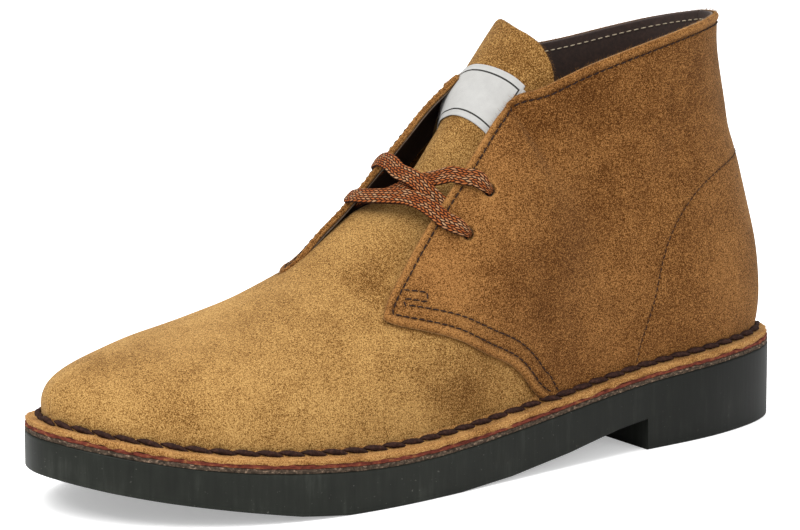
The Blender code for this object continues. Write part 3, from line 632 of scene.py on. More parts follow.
def skin_normal(side, u, t):
    u, t = np.asarray(u, float), np.asarray(t, float)
    du = skin(side, np.clip(u + 0.01, 0, 1), t) - skin(side, np.clip(u - 0.01, 0, 1), t)
    dt = skin(side, u, np.clip(t + 0.03, 0, 1)) - skin(side, u, np.clip(t - 0.03, 0, 1))
    return unit(np.cross(du, dt) * -side)


def skin_place(side, d, z):
    """u, t of the skin's point that a side view shows at d, z."""
    grid = FINE[side]
    i, j = np.unravel_index(np.argmin(np.hypot(grid[:, :, 1] - d, grid[:, :, 2] - z)), grid.shape[:2])
    return FINE_U[i], FINE_T[j]


def to_flat(side, places):
    places = np.asarray(places, float)
    run = np.interp(places[:, 0], FINE_U, COLUMN_RUN[side])
    return np.stack([places[:, 0] * SPAN, places[:, 1] * run], 1)


def from_flat(side, flat):
    u = flat[:, 0] / SPAN
    return u, flat[:, 1] / np.interp(u, FINE_U, COLUMN_RUN[side])


def in_frame(points):
    """Points (x, d, z) in the frame's axes."""
    p = np.asarray(points, float)
    return np.stack([p[:, 0], HEEL_REST_LENGTH / 2 - p[:, 1], p[:, 2]], 1)


def resampled(path, step):
    """The polyline with points a step apart, its ends kept."""
    path = np.asarray(path, float)
    run = run_along(path)
    at = np.linspace(0, run[-1], max(2, int(round(run[-1] / step)) + 1))
    return np.stack([np.interp(at, run, path[:, k]) for k in range(path.shape[1])], 1)


def curved(path, step):
    """A smooth curve through the points, resampled."""
    path = np.asarray(path, float)
    run = run_along(path)
    fine = np.linspace(0, run[-1], 12 * len(path))
    return resampled(spline(run, path, fine), step)


def beside(path, amount):
    """The path moved to its left by an amount."""
    along = unit(np.gradient(path, axis=0))
    return path + np.stack([-along[:, 1], along[:, 0]], 1) * amount


def trimmed(first, second):
    """The two paths cut back to where they cross, so that the first ends where the second starts."""
    for i in range(len(first) - 1):
        p, r = first[i], first[i + 1] - first[i]
        for j in range(len(second) - 1):
            q, s = second[j], second[j + 1] - second[j]
            cross = r[0] * s[1] - r[1] * s[0]
            if abs(cross) < 1e-18:
                continue
            a = ((q - p)[0] * s[1] - (q - p)[1] * s[0]) / cross
            b = ((q - p)[0] * r[1] - (q - p)[1] * r[0]) / cross
            if 0 <= a <= 1 and 0 <= b <= 1:
                meet = p + a * r
                first, second = first[: i + 1], second[j + 1 :]
                return np.concatenate([first, [meet]]), np.concatenate([[meet], second])
    return first, second


def distance_to(points, path, closed=False):
    """Distance of flat or solid points from a polyline."""
    ends = np.roll(path, -1, axis=0) if closed else path[1:]
    starts = path if closed else path[:-1]
    best = np.full(len(points), np.inf)
    for p, q in zip(starts, ends):
        along = q - p
        s = np.clip(((points - p) @ along) / max(along @ along, 1e-18), 0, 1)
        best = np.minimum(best, np.linalg.norm(points - p - s[:, None] * along, axis=1))
    return best


def inside(points, polygon):
    """Which flat points are within the polygon."""
    hit = np.zeros(len(points), bool)
    for (a0, b0), (a1, b1) in zip(polygon, np.roll(polygon, -1, axis=0)):
        crosses = (b0 > points[:, 1]) != (b1 > points[:, 1])
        at = a0 + (points[:, 1] - b0) * (a1 - a0) / (b1 - b0 if b1 != b0 else 1e-15)
        hit ^= crosses & (points[:, 0] < at)
    return hit


def quarter_paths(side):
    """Flat paths of a quarter: the lower edge up to the corner, then facing and collar to the heel."""
    step = 0.8 * MM
    lower, facing = list(INNER_LOWER), list(INNER_FACING)
    if side > 0:
        lower = [skin_place(side, d, z) for d, z in side_line(LOWER_EDGE)]
        lower = [(lower[0][0] + 0.006, 0.0)] + lower[1:]
        facing = [skin_place(side, d, z) for d, z in side_line(FACING_EDGE)] + list(FACING_TOP)
    collar = [(a, 1.0) for a in np.linspace(facing[-1][0] + 0.012, 1, 15)]
    lower = curved(to_flat(side, lower), step)
    upper = curved(to_flat(side, facing), step)
    upper = np.concatenate([upper, resampled(to_flat(side, collar), step)])
    highest = to_flat(side, np.stack([upper[:, 0] / SPAN, np.ones(len(upper))], 1))[:, 1]
    upper[:, 1] = np.minimum(upper[:, 1], highest)
    return lower, resampled(upper, step)


def corner_moved(side, amount_low, amount_up):
    """The quarter's two edge paths moved in, and trimmed where they cross by the corner."""
    lower, upper = EDGES[side]
    return trimmed(beside(lower, -amount_low), beside(upper, -amount_up))


EDGES = {side: quarter_paths(side) for side in (1, -1)}


def seam_rows(side):
    """Flat paths of a quarter's stitch rows, by name."""
    lower, upper = corner_moved(side, LOWER_ROW, EDGE_ROW)
    second = beside(EDGES[side][0], -SECOND_ROW)
    tack = to_flat(side, TACK)
    last = int(np.argmin(np.linalg.norm(second - tack[-1], axis=1)))
    at_welt = EDGES[side][0][0] + [6.8 * MM, 0.6 * MM]
    second = np.concatenate([[at_welt], second[4 : last + 1]])
    if side > 0:
        second = np.concatenate([second, tack[::-1]])
    return {
        "edge_row": np.concatenate([lower[1:], upper[1:-2]]),
        "second_row": second,
        "counter_row": curved(to_flat(side, COUNTER_ROW), 1.0 * MM),
    }


def seam_depth(name):
    """How deep a row of stitches is drawn into the suede."""
    return 0.6 * SEAM_DEPTH if name == "counter_row" else SEAM_DEPTH


ROWS = {side: seam_rows(side) for side in (1, -1)}


def folds(points, side):
    """How far the listed folds push the skin in, at points on it."""
    pushed = np.zeros(len(points))
    for at_side, u0, t0, u1, t1, width, depth in FOLDS:
        if at_side != side:
            continue
        line = skin(side, np.linspace(u0, u1, 5), np.linspace(t0, t1, 5))
        near = distance_to(points, line)
        pushed += depth * MM * np.exp(-((near / (width * MM)) ** 2))
    return pushed


def ripple(points, size, seed):
    """A smooth unevenness from a few sine waves, about -1 to 1."""
    random = np.random.default_rng(seed)
    total = np.zeros(len(points))
    for k in range(7):
        wave = random.normal(size=3)
        wave *= 2 * math.pi / (size * (0.6 + 0.9 * random.random())) / np.linalg.norm(wave)
        total += np.sin(points @ wave + random.random() * 6.283)
    return total / 3.5


def tone_of(points, side, ground):
    """How light the nap is at points on the skin: a ground tone and the listed patches, which are mottling
    and in places painted shade.
    """
    tone = ground.copy()
    for at_side, u, t, radius, strength in NAP_AND_SHADE_PATCHES:
        if at_side == side:
            near = np.linalg.norm(points - skin(side, u, t), axis=1)
            tone += strength * np.exp(-((near / (radius * MM)) ** 2))
    return tone + 0.05 * ripple(points, 45 * MM, 3)


def welded(points, faces, *values):
    """Coincident points made one; faces that collapse to fewer corners lose them."""
    _, first, index = np.unique(np.round(points / 1e-6), axis=0, return_index=True, return_inverse=True)
    index = index.reshape(-1)
    kept = []
    for face in faces:
        ring = []
        for corner in index[list(face)]:
            if not ring or (corner != ring[-1] and corner != ring[0]):
                ring.append(int(corner))
        if len(ring) > 2:
            kept.append(tuple(ring))
    return (points[first], kept, *[v[first] for v in values])


def vertex_normals(points, faces):
    """Unit normals at the points, from the faces round each."""
    normals = np.zeros_like(points)
    corners = np.array([(f[0], f[k], f[k + 1]) for f in faces for k in range(1, len(f) - 1)])
    a, b, c = (points[corners[:, k]] for k in range(3))
    cross = np.cross(b - a, c - a)
    for k in range(3):
        np.add.at(normals, corners[:, k], cross)
    return normals / np.maximum(np.linalg.norm(normals, axis=1), 1e-15)[:, None]


def boundary_edges(faces):
    """Directed edges that only one face has."""
    seen = {}
    for face in faces:
        for a, b in zip(face, face[1:] + face[:1]):
            seen[(a, b)] = True
    return [(a, b) for a, b in seen if (b, a) not in seen]


def shell_faces(faces, rim, count):
    """Faces of a sheet's back, whose points follow the front's, and the faces that join the two rims."""
    behind = [tuple(count + k for k in face[::-1]) for face in faces]
    return behind, [(a, count + a, count + b, b) for a, b in rim]


def closed_sheet(points, faces, normals, thickness):
    """A sheet given its thickness behind the points, its rim eased. Returns points, faces, rim faces."""
    rim = boundary_edges(faces)
    ease = np.zeros(len(points))
    ease[np.unique(np.array(rim).reshape(-1))] = 0.3
    front = points - normals * (ease * thickness)[:, None]
    back = points - normals * (thickness * (1 - ease))[:, None]
    behind, sides = shell_faces(faces, rim, len(points))
    return np.concatenate([front, back]), list(faces) + behind, sides


def facing_out(points, faces, normals):
    """The faces, all turned round if they point against the normals."""
    corners = np.array(faces)
    a, b, c = (points[corners[:, k]] for k in range(3))
    against = (np.cross(b - a, c - a) * normals[corners[:, 0]]).sum() < 0
    return [face[::-1] for face in faces] if against else faces


def attribute(mesh, name, values):
    made = mesh.attributes.new(name, "FLOAT", "POINT")
    made.data.foreach_set("value", np.asarray(values, np.float32))


def uv_map(mesh, places):
    """A UV map from one place for each vertex."""
    layer = mesh.uv_layers.new(name="UVMap")
    corner = np.zeros(len(mesh.loops), int)
    mesh.loops.foreach_get("vertex_index", corner)
    layer.data.foreach_set("uv", np.asarray(places, np.float32)[corner].reshape(-1))


def add_piece(
    name, points, faces, materials, tone=None, face_slots=None, sharp=None, uv=None
):
    """A piece of the boot from points in (x, d, z)."""
    mesh = bpy.data.meshes.new(name)
    mesh.from_pydata(in_frame(points).tolist(), [], faces)
    bm = bmesh.new()
    bm.from_mesh(mesh)
    bmesh.ops.recalc_face_normals(bm, faces=bm.faces)
    bm.to_mesh(mesh)
    bm.free()
    if tone is not None:
        attribute(mesh, "tone", tone)
    if uv is not None:
        uv_map(mesh, uv)
    for made in materials:
        mesh.materials.append(made)
    if face_slots is not None:
        mesh.polygons.foreach_set("material_index", np.asarray(face_slots, np.int32))
    mesh.shade_smooth()
    if sharp is not None:
        mesh.set_sharp_from_angle(angle=math.radians(sharp))
    piece = bpy.data.objects.new(name, mesh)
    bpy.context.scene.collection.objects.link(piece)
    return finished(piece)


def finished(piece):
    """The piece fixed to the boot's body."""
    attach(piece, "root")
    return piece


def node(tree, kind, inputs=None, **settings):
    """A node with its settings, its inputs given as values or as sockets to link from."""
    made = tree.nodes.new(kind)
    for name, value in settings.items():
        setattr(made, name, value)
    for name, value in (inputs or {}).items():
        if isinstance(value, bpy.types.NodeSocket):
            tree.links.new(value, made.inputs[name])
        else:
            made.inputs[name].default_value = value
    return made


def ramp(tree, factor, stops):
    """Colours at places from 0 to 1."""
    made = node(tree, "ShaderNodeValToRGB", {"Fac": factor})
    band = made.color_ramp
    while len(band.elements) < len(stops):
        band.elements.new(0.5)
    for element, (place, colour) in zip(band.elements, stops):
        element.position = place
        element.color = (*colour, 1)
    return made.outputs["Color"]


def maths(tree, operation, a, b=0.0):
    return node(tree, "ShaderNodeMath", {0: a, 1: b}, operation=operation).outputs[0]


def plus(tree, a, b):
    return maths(tree, "ADD", a, b)


def minus(tree, a, b):
    return maths(tree, "SUBTRACT", a, b)


def times(tree, a, b):
    return maths(tree, "MULTIPLY", a, b)


def sine(tree, a):
    return maths(tree, "SINE", a)


def mapped(tree, value, low, high, to_low=0.0, to_high=1.0):
    """A value brought from one range to another."""
    ends = {"From Min": low, "From Max": high, "To Min": to_low, "To Max": to_high}
    return node(tree, "ShaderNodeMapRange", {"Value": value, **ends}).outputs[0]


def mixed(tree, first, second, factor=1.0, blend="MIX"):
    """Two colours mixed; a Mix node has its colours at inputs 6 and 7 and its result at output 2."""
    inputs = {"Factor": factor, 6: first, 7: second}
    return node(tree, "ShaderNodeMix", inputs, data_type="RGBA", blend_type=blend).outputs[2]


def noise(tree, place, scale, detail=3.0, roughness=0.6, stretch=None):
    if stretch:
        place = node(tree, "ShaderNodeMapping", {"Vector": place, "Scale": stretch}).outputs[0]
    inputs = {"Vector": place, "Scale": scale, "Detail": detail, "Roughness": roughness}
    return node(tree, "ShaderNodeTexNoise", inputs).outputs[0]


def surface(name, roughness, specular):
    """A new material and its Principled shader with the values that are the same all over."""
    made = bpy.data.materials.new(name)
    made.use_nodes = True
    shader = made.node_tree.nodes["Principled BSDF"]
    shader.inputs["Roughness"].default_value = roughness
    shader.inputs["Specular IOR Level"].default_value = specular
    return made, made.node_tree, shader


def bump(tree, shader, height, strength, distance, before=None):
    inputs = {"Height": height, "Strength": strength, "Distance": distance}
    if before is not None:
        inputs["Normal"] = before
    made = node(tree, "ShaderNodeBump", inputs)
    tree.links.new(made.outputs[0], shader.inputs["Normal"])
    return made.outputs[0]


def suede(name, deep, dark, middle, light, grain=1.0):
    """Brushed suede: a nap of fine light and dark dots, lighter or darker by the tone attribute, which
    holds rubbed wear and mottling and also painted light and shade.
    """
    made, tree, shader = surface(name, 0.95, 0.05)
    shader.inputs["Sheen Weight"].default_value = 0.10
    shader.inputs["Sheen Roughness"].default_value = 0.45
    shader.inputs["Sheen Tint"].default_value = (1.0, 0.80, 0.50, 1)
    place = node(tree, "ShaderNodeTexCoord").outputs["Object"]
    tone = node(tree, "ShaderNodeAttribute", attribute_name="tone").outputs["Fac"]
    speck = noise(tree, place, 2500.0, 2.0, 0.75)
    fibre = noise(tree, place, 1500.0, 2.0, 0.7, (1.0, 0.5, 1.0))
    cloud = noise(tree, place, 120.0, 4.0, 0.62)
    patch = noise(tree, place, 38.0, 3.0, 0.55)
    holes = noise(tree, place, 1900.0, 1.0, 0.5)
    dots = mapped(tree, holes, 0.30, 0.46, -0.26 * grain, 0.0)
    # The tone attribute adds painted light and shade as well as wear and mottling.
    value = plus(tree, times(tree, tone, 0.50), 0.5)
    for source, weight in ((speck, 3.2 * grain), (fibre, 1.0 * grain), (cloud, 0.42), (patch, 0.55)):
        value = plus(tree, value, times(tree, minus(tree, source, 0.5), weight))
    value = plus(tree, value, dots)
    colour = ramp(tree, value, ((0.02, deep), (0.30, dark), (0.56, middle), (0.98, light)))
    tree.links.new(colour, shader.inputs["Base Color"])
    coarse = bump(tree, shader, cloud, 0.22, 0.0010)
    bump(tree, shader, plus(tree, speck, fibre), 0.5, 0.00030, coarse)
    return made


def speckled(name, colours, roughness, scale, stretch=None, specular=0.4, bump_by=0.3):
    """A plain finish with a noise of three or four colours and a matching bump."""
    made, tree, shader = surface(name, roughness, specular)
    place = node(tree, "ShaderNodeTexCoord").outputs["Object"]
    grain = noise(tree, place, scale, 4.0, 0.7, stretch)
    stops = [(0.30 + 0.40 * k / (len(colours) - 1), c) for k, c in enumerate(colours)]
    tree.links.new(ramp(tree, grain, stops), shader.inputs["Base Color"])
    bump(tree, shader, grain, bump_by, 0.0004)
    return made


def rubber(name, colour):
    """Moulded rubber, scoured up and down, with dust in its pores, and painted light: lighter towards the
    toe and darker towards the heel.
    """
    made, tree, shader = surface(name, 0.6, 0.13)
    place = node(tree, "ShaderNodeTexCoord").outputs["Object"]
    streak = noise(tree, place, 380.0, 4.0, 0.65, (1.0, 1.0, 0.10))
    cloud = noise(tree, place, 60.0, 3.0, 0.6)
    dust = noise(tree, place, 900.0, 2.0, 0.5)
    pale = tuple(min(1, 1.9 * c + 0.006) for c in colour)
    low = tuple(0.62 * c for c in colour)
    scour = plus(tree, times(tree, streak, 0.55), times(tree, cloud, 0.45))
    body = ramp(tree, scour, ((0.30, low), (0.52, colour), (0.75, pale)))
    specks = ramp(tree, dust, ((0.70, (0, 0, 0)), (0.80, (0.05, 0.048, 0.042))))
    along = node(tree, "ShaderNodeSeparateXYZ", {"Vector": place}).outputs["Y"]
    # Painted light: the colour is made lighter towards the toe and darker towards the heel.
    painted_light_to_toe = mapped(tree, along, -0.150, 0.0, 1.35, 0.62)
    dust_and_painted_light = mixed(tree, mixed(tree, body, specks, blend="ADD"), painted_light_to_toe, blend="MULTIPLY")
    tree.links.new(dust_and_painted_light, shader.inputs["Base Color"])
    tree.links.new(mapped(tree, scour, 0.0, 1.0, 0.42, 0.62), shader.inputs["Roughness"])
    bump(tree, shader, streak, 0.35, 0.0002)
    return made


def woven_lace(name, deep, rust, light, fleck):
    """Flat braid on the UV map: v across in seven rows of slanted yarn, u along in metres."""
    yarn_length = 0.0019
    made, tree, shader = surface(name, 0.8, 0.08)
    uv = node(tree, "ShaderNodeTexCoord").outputs["UV"]
    parts = node(tree, "ShaderNodeSeparateXYZ", {"Vector": uv}).outputs
    across = times(tree, parts["Y"], 7.0)
    row = maths(tree, "FLOOR", across)
    in_row = maths(tree, "FRACT", across)
    odd = maths(tree, "MODULO", row, 2.0)
    slant = times(tree, in_row, minus(tree, times(tree, odd, 2.0), 1.0))
    along = plus(tree, maths(tree, "DIVIDE", parts["X"], yarn_length), times(tree, slant, 0.62))
    yarn = maths(tree, "FRACT", plus(tree, along, 100.0))
    round_yarn = sine(tree, times(tree, yarn, math.pi))
    round_row = sine(tree, times(tree, in_row, math.pi))
    height = maths(tree, "POWER", times(tree, round_yarn, round_row), 0.5)
    cell = node(tree, "ShaderNodeCombineXYZ", {"X": maths(tree, "FLOOR", along), "Y": row}).outputs[0]
    pick = node(tree, "ShaderNodeTexWhiteNoise", {"Vector": cell}, noise_dimensions="2D")
    patch = noise(tree, uv, 95.0, 2.0, 0.5)
    chance = plus(tree, times(tree, pick.outputs["Value"], 0.40), times(tree, patch, 0.85))
    yarns = ramp(tree, chance, ((0.34, rust), (0.66, light), (0.84, fleck)))
    # Painted shade: the gaps between the yarns take the deep colour, and the yarns' crowns keep their own.
    shade = mapped(tree, height, 0.48, 0.86)
    tree.links.new(mixed(tree, (*deep, 1), yarns, shade), shader.inputs["Base Color"])
    bump(tree, shader, height, 0.9, 0.0006)
    return made


def woven_label(name, ground, line):
    """Tight white weave with a thin dark frame near its edge; the middle is bare."""
    warp_pitch, weft_pitch = 0.00055, 0.00042
    made, tree, shader = surface(name, 0.85, 0.1)
    uv = node(tree, "ShaderNodeTexCoord").outputs["UV"]
    parts = node(tree, "ShaderNodeSeparateXYZ", {"Vector": uv}).outputs
    warp = sine(tree, times(tree, parts["X"], 2 * math.pi / warp_pitch))
    weft = sine(tree, times(tree, parts["Y"], 2 * math.pi / weft_pitch))
    weave = plus(tree, times(tree, times(tree, warp, weft), 0.5), 0.5)
    from_end = minus(tree, LABEL_WIDTH / 2 - LABEL_FRAME_IN, maths(tree, "ABSOLUTE", parts["X"]))
    from_side = minus(tree, LABEL_HEIGHT / 2 - LABEL_FRAME_IN, maths(tree, "ABSOLUTE", parts["Y"]))
    from_frame = maths(tree, "ABSOLUTE", maths(tree, "MINIMUM", from_end, from_side))
    framed = maths(tree, "LESS_THAN", from_frame, LABEL_FRAME_WIDE / 2)
    grey = noise(tree, uv, 260.0, 3.0, 0.6)
    dim = tuple(0.80 * c for c in ground)
    uneven = plus(tree, times(tree, weave, 0.5), times(tree, grey, 0.5))
    cloth = ramp(tree, uneven, ((0.30, dim), (0.62, ground)))
    tree.links.new(mixed(tree, cloth, (*line, 1), framed), shader.inputs["Base Color"])
    bump(tree, shader, weave, 0.35, 0.0002)
    return made


def finish(name):
    """A finish by name, made the first time that a piece asks for it."""
    found = bpy.data.materials.get(name)
    return found if found else FINISHES[name](name)


def colours():
    return bpy.context.scene.boot_colours


def shades(colour, *factors):
    """The colour made darker or lighter by each factor."""
    return [tuple(min(1.0, c * f) for c in colour) for f in factors]


def nap(colour, deep, dark, light):
    """Four colours of a nap: redder where it is deep, more golden on the tips."""
    r, g, b = colour
    return (
        (r * deep, g * deep * 0.74, b * deep * 0.52),
        (r * dark, g * dark * 0.88, b * dark * 0.74),
        (r, g, b),
        (r * light, g * light * 1.13, b * light * 1.30),
    )


def vamp_finish(name):
    return suede(name, *nap(colours().vamp, 0.26, 0.60, 1.65))


def quarter_finish(name):
    return suede(name, *nap(colours().quarter, 0.26, 0.58, 2.0), grain=1.05)


def edge_finish(name):
    return suede(name, *nap(colours().cut_edge, 0.30, 0.62, 1.4))


def flesh_finish(name):
    return suede(name, *nap(shades(colours().quarter, 0.5)[0], 0.4, 0.7, 1.5))


def lining_finish(name):
    return speckled(name, shades(colours().lining, 0.6, 1.0, 1.5), 0.62, 700.0, bump_by=0.25)


def lining_edge_finish(name):
    ground = shades((0.150, 0.112, 0.080), 0.6, 1.0, 1.5)
    return speckled(name, ground, 0.85, 900.0, specular=0.1, bump_by=0.3)


def midsole_finish(name):
    ground = shades(colours().midsole, 0.25, 0.8, 1.3) + shades(colours().cut_edge, 0.8)
    return speckled(name, ground, 0.85, 330.0, (1.0, 1.0, 2.6), specular=0.1, bump_by=0.7)


def runner_finish(name):
    ground = shades(colours().runner, 0.20, 0.6, 1.3, 5.5)
    return speckled(name, ground, 0.85, 760.0, (1.0, 1.0, 1.6), specular=0.1, bump_by=0.7)


def rubber_finish(name):
    return rubber(name, tuple(colours().rubber))


def thread_finish(name):
    ground = shades(colours().thread, 0.6, 1.0, 1.9)
    return speckled(name, ground, 0.8, 1800.0, specular=0.1, bump_by=0.4)


def cream_finish(name):
    return speckled(name, shades((0.38, 0.31, 0.21), 0.6, 1.0, 1.3), 0.7, 1800.0, bump_by=0.4)


def welt_thread_finish(name):
    ground = shades(colours().welt_thread, 0.4, 1.0, 2.4)
    return speckled(name, ground, 0.75, 900.0, specular=0.12, bump_by=0.6)


def insole_finish(name):
    return speckled(name, shades((0.24, 0.16, 0.095), 0.7, 1.0, 1.3), 0.6, 500.0, bump_by=0.2)


def fibre_finish(name):
    ground = shades(colours().cut_edge, 0.5, 0.8, 1.2)
    return speckled(name, ground, 0.9, 300.0, specular=0.03, bump_by=0.0)


def lace_finish(name):
    # The deep colour is the painted shade between the yarns.
    deep, light, fleck = (0.022, 0.007, 0.004), (0.36, 0.11, 0.028), (0.42, 0.26, 0.14)
    return woven_lace(name, deep, tuple(colours().lace), light, fleck)


def label_finish(name):
    return woven_label(name, (0.42, 0.415, 0.40), (0.03, 0.028, 0.026))


FINISHES = {
    "suede_vamp": vamp_finish,
    "suede_quarter": quarter_finish,
    "suede_cut_edge": edge_finish,
    "suede_flesh_side": flesh_finish,
    "lining_leather": lining_finish,
    "lining_edge": lining_edge_finish,
    "midsole_cut_edge": midsole_finish,
    "runner_mottled": runner_finish,
    "rubber_scoured": rubber_finish,
    "thread_dark": thread_finish,
    "thread_cream": cream_finish,
    "thread_welt": welt_thread_finish,
    "insole_plain": insole_finish,
    "loose_fibre": fibre_finish,
    "lace_braid": lace_finish,
    "label_weave": label_finish,
}


def grid_faces(rows, count, start=0, round_rows=False, round_columns=False):
    """Four-cornered faces of a grid of points, joined round to the first row or column where asked."""
    faces = []
    for i in range(rows if round_rows else rows - 1):
        this, below = start + i * count, start + (i + 1) % rows * count
        for j in range(count if round_columns else count - 1):
            beyond = (j + 1) % count
            faces.append((this + j, this + beyond, below + beyond, below + j))
    return faces


def slab_plan(edge_inset, d_at, u_at):
    """The sole's outline in plan, an inset in: heel, outer side, toe, inner side."""
    outer, inner = inset(1, u_at[1], edge_inset), inset(-1, u_at[-1][::-1], edge_inset)
    heel, toe = inset(1, [1.0], edge_inset), inset(1, [0.0], edge_inset)
    return np.concatenate([heel, outer, toe, inner])


def slab(name, stands_for, edge_inset, low, high, rounding, finish_name, rows=240, wear=0.0):
    """A plate with the sole's outline between two heights that depend on d, its edges rounded.

    Wear makes its edge uneven.
    """
    d_at = SOLE_LENGTH * (0.5 - 0.5 * np.cos(np.pi * np.linspace(0, 1, rows)))
    d_at = np.unique(np.concatenate([d_at[1:-1], [HEEL_REST_LENGTH, HEEL_REST_LENGTH + GAP]]))
    fine = np.linspace(0, 1, 4001)
    u_at = {side: np.interp(-d_at, -outline(side, fine)[:, 1], fine) for side in (1, -1)}
    turn = np.linspace(0, math.pi / 2, 5)
    round_in, round_up = rounding * (1 - np.sin(turn)), rounding * (1 - np.cos(turn))
    profile = [(low, i, r) for i, r in zip(round_in, round_up)]
    profile += [(high, i, -r) for i, r in zip(round_in[::-1], round_up[::-1])]
    rings = []
    for level, more, rise in profile:
        plan = slab_plan(edge_inset + more, d_at, u_at)
        if wear:
            flat = np.column_stack([plan, 0 * plan[:, 0]])
            plan = plan + ripple(flat, 5 * MM, 31)[:, None] * (plan - plan.mean(0)) * wear
            rise = rise + ripple(flat, 4 * MM, 33) * wear * 30 * MM
        rings.append(np.column_stack([plan, level(plan[:, 1]) + rise]))
    n, m = len(rings[0]), len(d_at)
    faces = grid_faces(len(rings), n, round_columns=True)
    for first in (0, (len(rings) - 1) * n):
        outer, inner = first + 1 + np.arange(m), first + n - 1 - np.arange(m)
        strip = np.column_stack([outer[:-1], outer[1:], inner[1:], inner[:-1]]).tolist()
        ends = [[first, outer[0], inner[0]], [outer[-1], first + m + 1, inner[-1]]]
        faces += [tuple(int(k) for k in face) for face in (ends[0], *strip, ends[1])]
    points = np.concatenate(rings)
    piece = add_piece(name, points, faces, [finish(finish_name)], sharp=35)
    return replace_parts(piece, stands_for)


def tongue_net(us, shares, across):
    """Grid of the instep and tongue: rows at us, then rows at shares of the tongue's rise.

    Returns points and normals as (row, place across, xyz).
    """
    reach, top, dips = np.array(TONGUE_REACH), np.array(TONGUE_TOP), np.array(TONGUE_DIP)
    back, up = TONGUE_TOP_PATH
    shares = np.asarray(shares)
    rows = []
    for u, share in [(u, 0.0) for u in us] + [(us[-1], share) for share in shares]:
        a = across * np.where(across > 0, 1 + TONGUE_FLARE * smooth_step(3 * share), 1.0)
        rise = share * spline(top[:, 0], top[:, 1:], a)[:, 0] * COLLAR_HEIGHT
        t = 1 - np.abs(a) * np.interp(u, reach[:, 0], reach[:, 1])
        at = np.full(len(a), u)
        row = np.where((a >= 0)[:, None], skin(1, at, t), skin(-1, at, t))
        row[:, 1] += back * rise
        row[:, 2] += up * rise
        rows.append(row)
    grid = np.array(rows)
    normal = np.cross(np.gradient(grid, axis=0), np.gradient(grid, axis=1))
    normal /= np.maximum(np.linalg.norm(normal, axis=-1), 1e-15)[..., None]
    if normal[len(us) // 2 :, :, 1].sum() < 0:
        normal = -normal
    climb = np.concatenate([np.clip((us - 0.44) / 0.24, 0, 1), 0.667 + 0.2 * shares])
    sunk = TONGUE_SINK * climb[:, None] * smooth_step(np.abs(across) * 1.35 - 0.12)
    by_lace = smooth_step((us - 0.45) / 0.05) * (1 - smooth_step((us - 0.55) / 0.045))
    by_lace = np.concatenate([by_lace, np.zeros(len(shares))])
    sunk = sunk + TONGUE_FALL * by_lace[:, None] * smooth_step((0.2 - across) / 0.8)
    dip = spline(dips[:, 0], dips[:, 1:], np.clip(us, dips[0, 0], dips[-1, 0]))[:, 0] * MM
    dip = np.where(us <= dips[0, 0], 0.0, dip)
    dip = np.concatenate([dip, dip[-1] * (1 - shares)])
    return grid - normal * (sunk + dip[:, None])[..., None], normal


def vamp_net():
    """Welded points and faces of the instep with the tongue, and of the vamp's two sides.

    With them come a 1 for each point of the tongue past the ridge, and the side that a point is on.
    """
    us = np.linspace(0, RIDGE_END, 171)
    shares = np.sin(np.linspace(0, math.pi / 2, 34))[1:]
    across = np.linspace(-1, 1, 91)
    middle, _ = tongue_net(us, shares, across)
    width = len(across)
    points = [middle.reshape(-1, 3)]
    faces = grid_faces(len(middle), width)
    on_tongue = [np.repeat([0.0, 1.0], [len(us) * width, len(shares) * width])]
    sides = [np.tile(np.where(across >= 0, 1, -1), len(middle))]
    reach = np.array(TONGUE_REACH)
    top = np.interp(us, reach[:, 0], reach[:, 1])
    top = top + SLIT_WIDTH * np.clip((us - TONGUE_SLIT) / 0.04, 0, 1)
    low = np.linspace(0, 1, 46)
    down = top[:, None] + (1 - top[:, None]) * low[None, :]
    along = np.repeat(us[:, None], len(low), 1)
    for side in (1, -1):
        faces += grid_faces(len(us), len(low), sum(len(part) for part in points))
        points.append(skin(side, along, 1 - down).reshape(-1, 3))
        on_tongue.append(np.zeros(down.size))
        sides.append(np.full(down.size, side))
    return welded(np.concatenate(points), faces, np.concatenate(on_tongue), np.concatenate(sides))


def wound_outwards(points, faces):
    """The faces wound alike and pointing away from the foot's middle, and the points' normals."""
    bm = bmesh.new()
    made = [bm.verts.new(p) for p in points]
    for face in faces:
        bm.faces.new([made[k] for k in face])
    bmesh.ops.recalc_face_normals(bm, faces=bm.faces)
    bm.verts.index_update()
    faces = [tuple(v.index for v in f.verts) for f in bm.faces]
    bm.free()
    normals = vertex_normals(points, faces)
    if ((points - [0, 0.5 * SOLE_LENGTH, 0.2 * COLLAR_HEIGHT]) * normals).sum() < 0:
        return [f[::-1] for f in faces], -normals
    return faces, normals


def vamp_and_tongue():
    """One sheet over the toe and instep that runs on as the tongue, slit where the facings cover it."""
    points, faces, on_tongue, sides = vamp_net()
    faces, normals = wound_outwards(points, faces)
    pushed, tone = np.zeros(len(points)), np.zeros(len(points))
    for side in (1, -1):
        here = sides == side
        place = points[here]
        edge = skin(side, *from_flat(side, EDGES[side][0]))
        # Within about a millimetre of the quarter's lower edge the vamp is pressed in a little and painted
        # darker: painted shadow of the edge.
        edge_groove_and_painted_shadow = np.exp(-((distance_to(place, edge) / (1.0 * MM)) ** 2))
        rear = smooth_step((0.80 - place[:, 1] / SOLE_LENGTH) / 0.5)
        tone[here] = tone_of(place, side, 0.28 - 0.42 * rear) - 0.75 * edge_groove_and_painted_shadow
        pushed[here] = folds(place, side) + 0.25 * MM * edge_groove_and_painted_shadow
    tone -= 0.06 * on_tongue
    points = points - normals * (pushed + 0.12 * MM * ripple(points, 26 * MM, 5))[:, None]
    normals = vertex_normals(points, faces)
    points, faces, rim = closed_sheet(points, faces, normals, VAMP_THICK)
    slots = np.repeat([0, 1, 2], [len(faces) // 2, len(faces) // 2, len(rim)])
    mats = [finish("suede_vamp"), finish("suede_flesh_side"), finish("suede_cut_edge")]
    tone = np.concatenate([tone, tone])
    piece = add_piece("vamp_and_tongue", points, faces + rim, mats, tone, slots)
    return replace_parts(piece, "tongue")


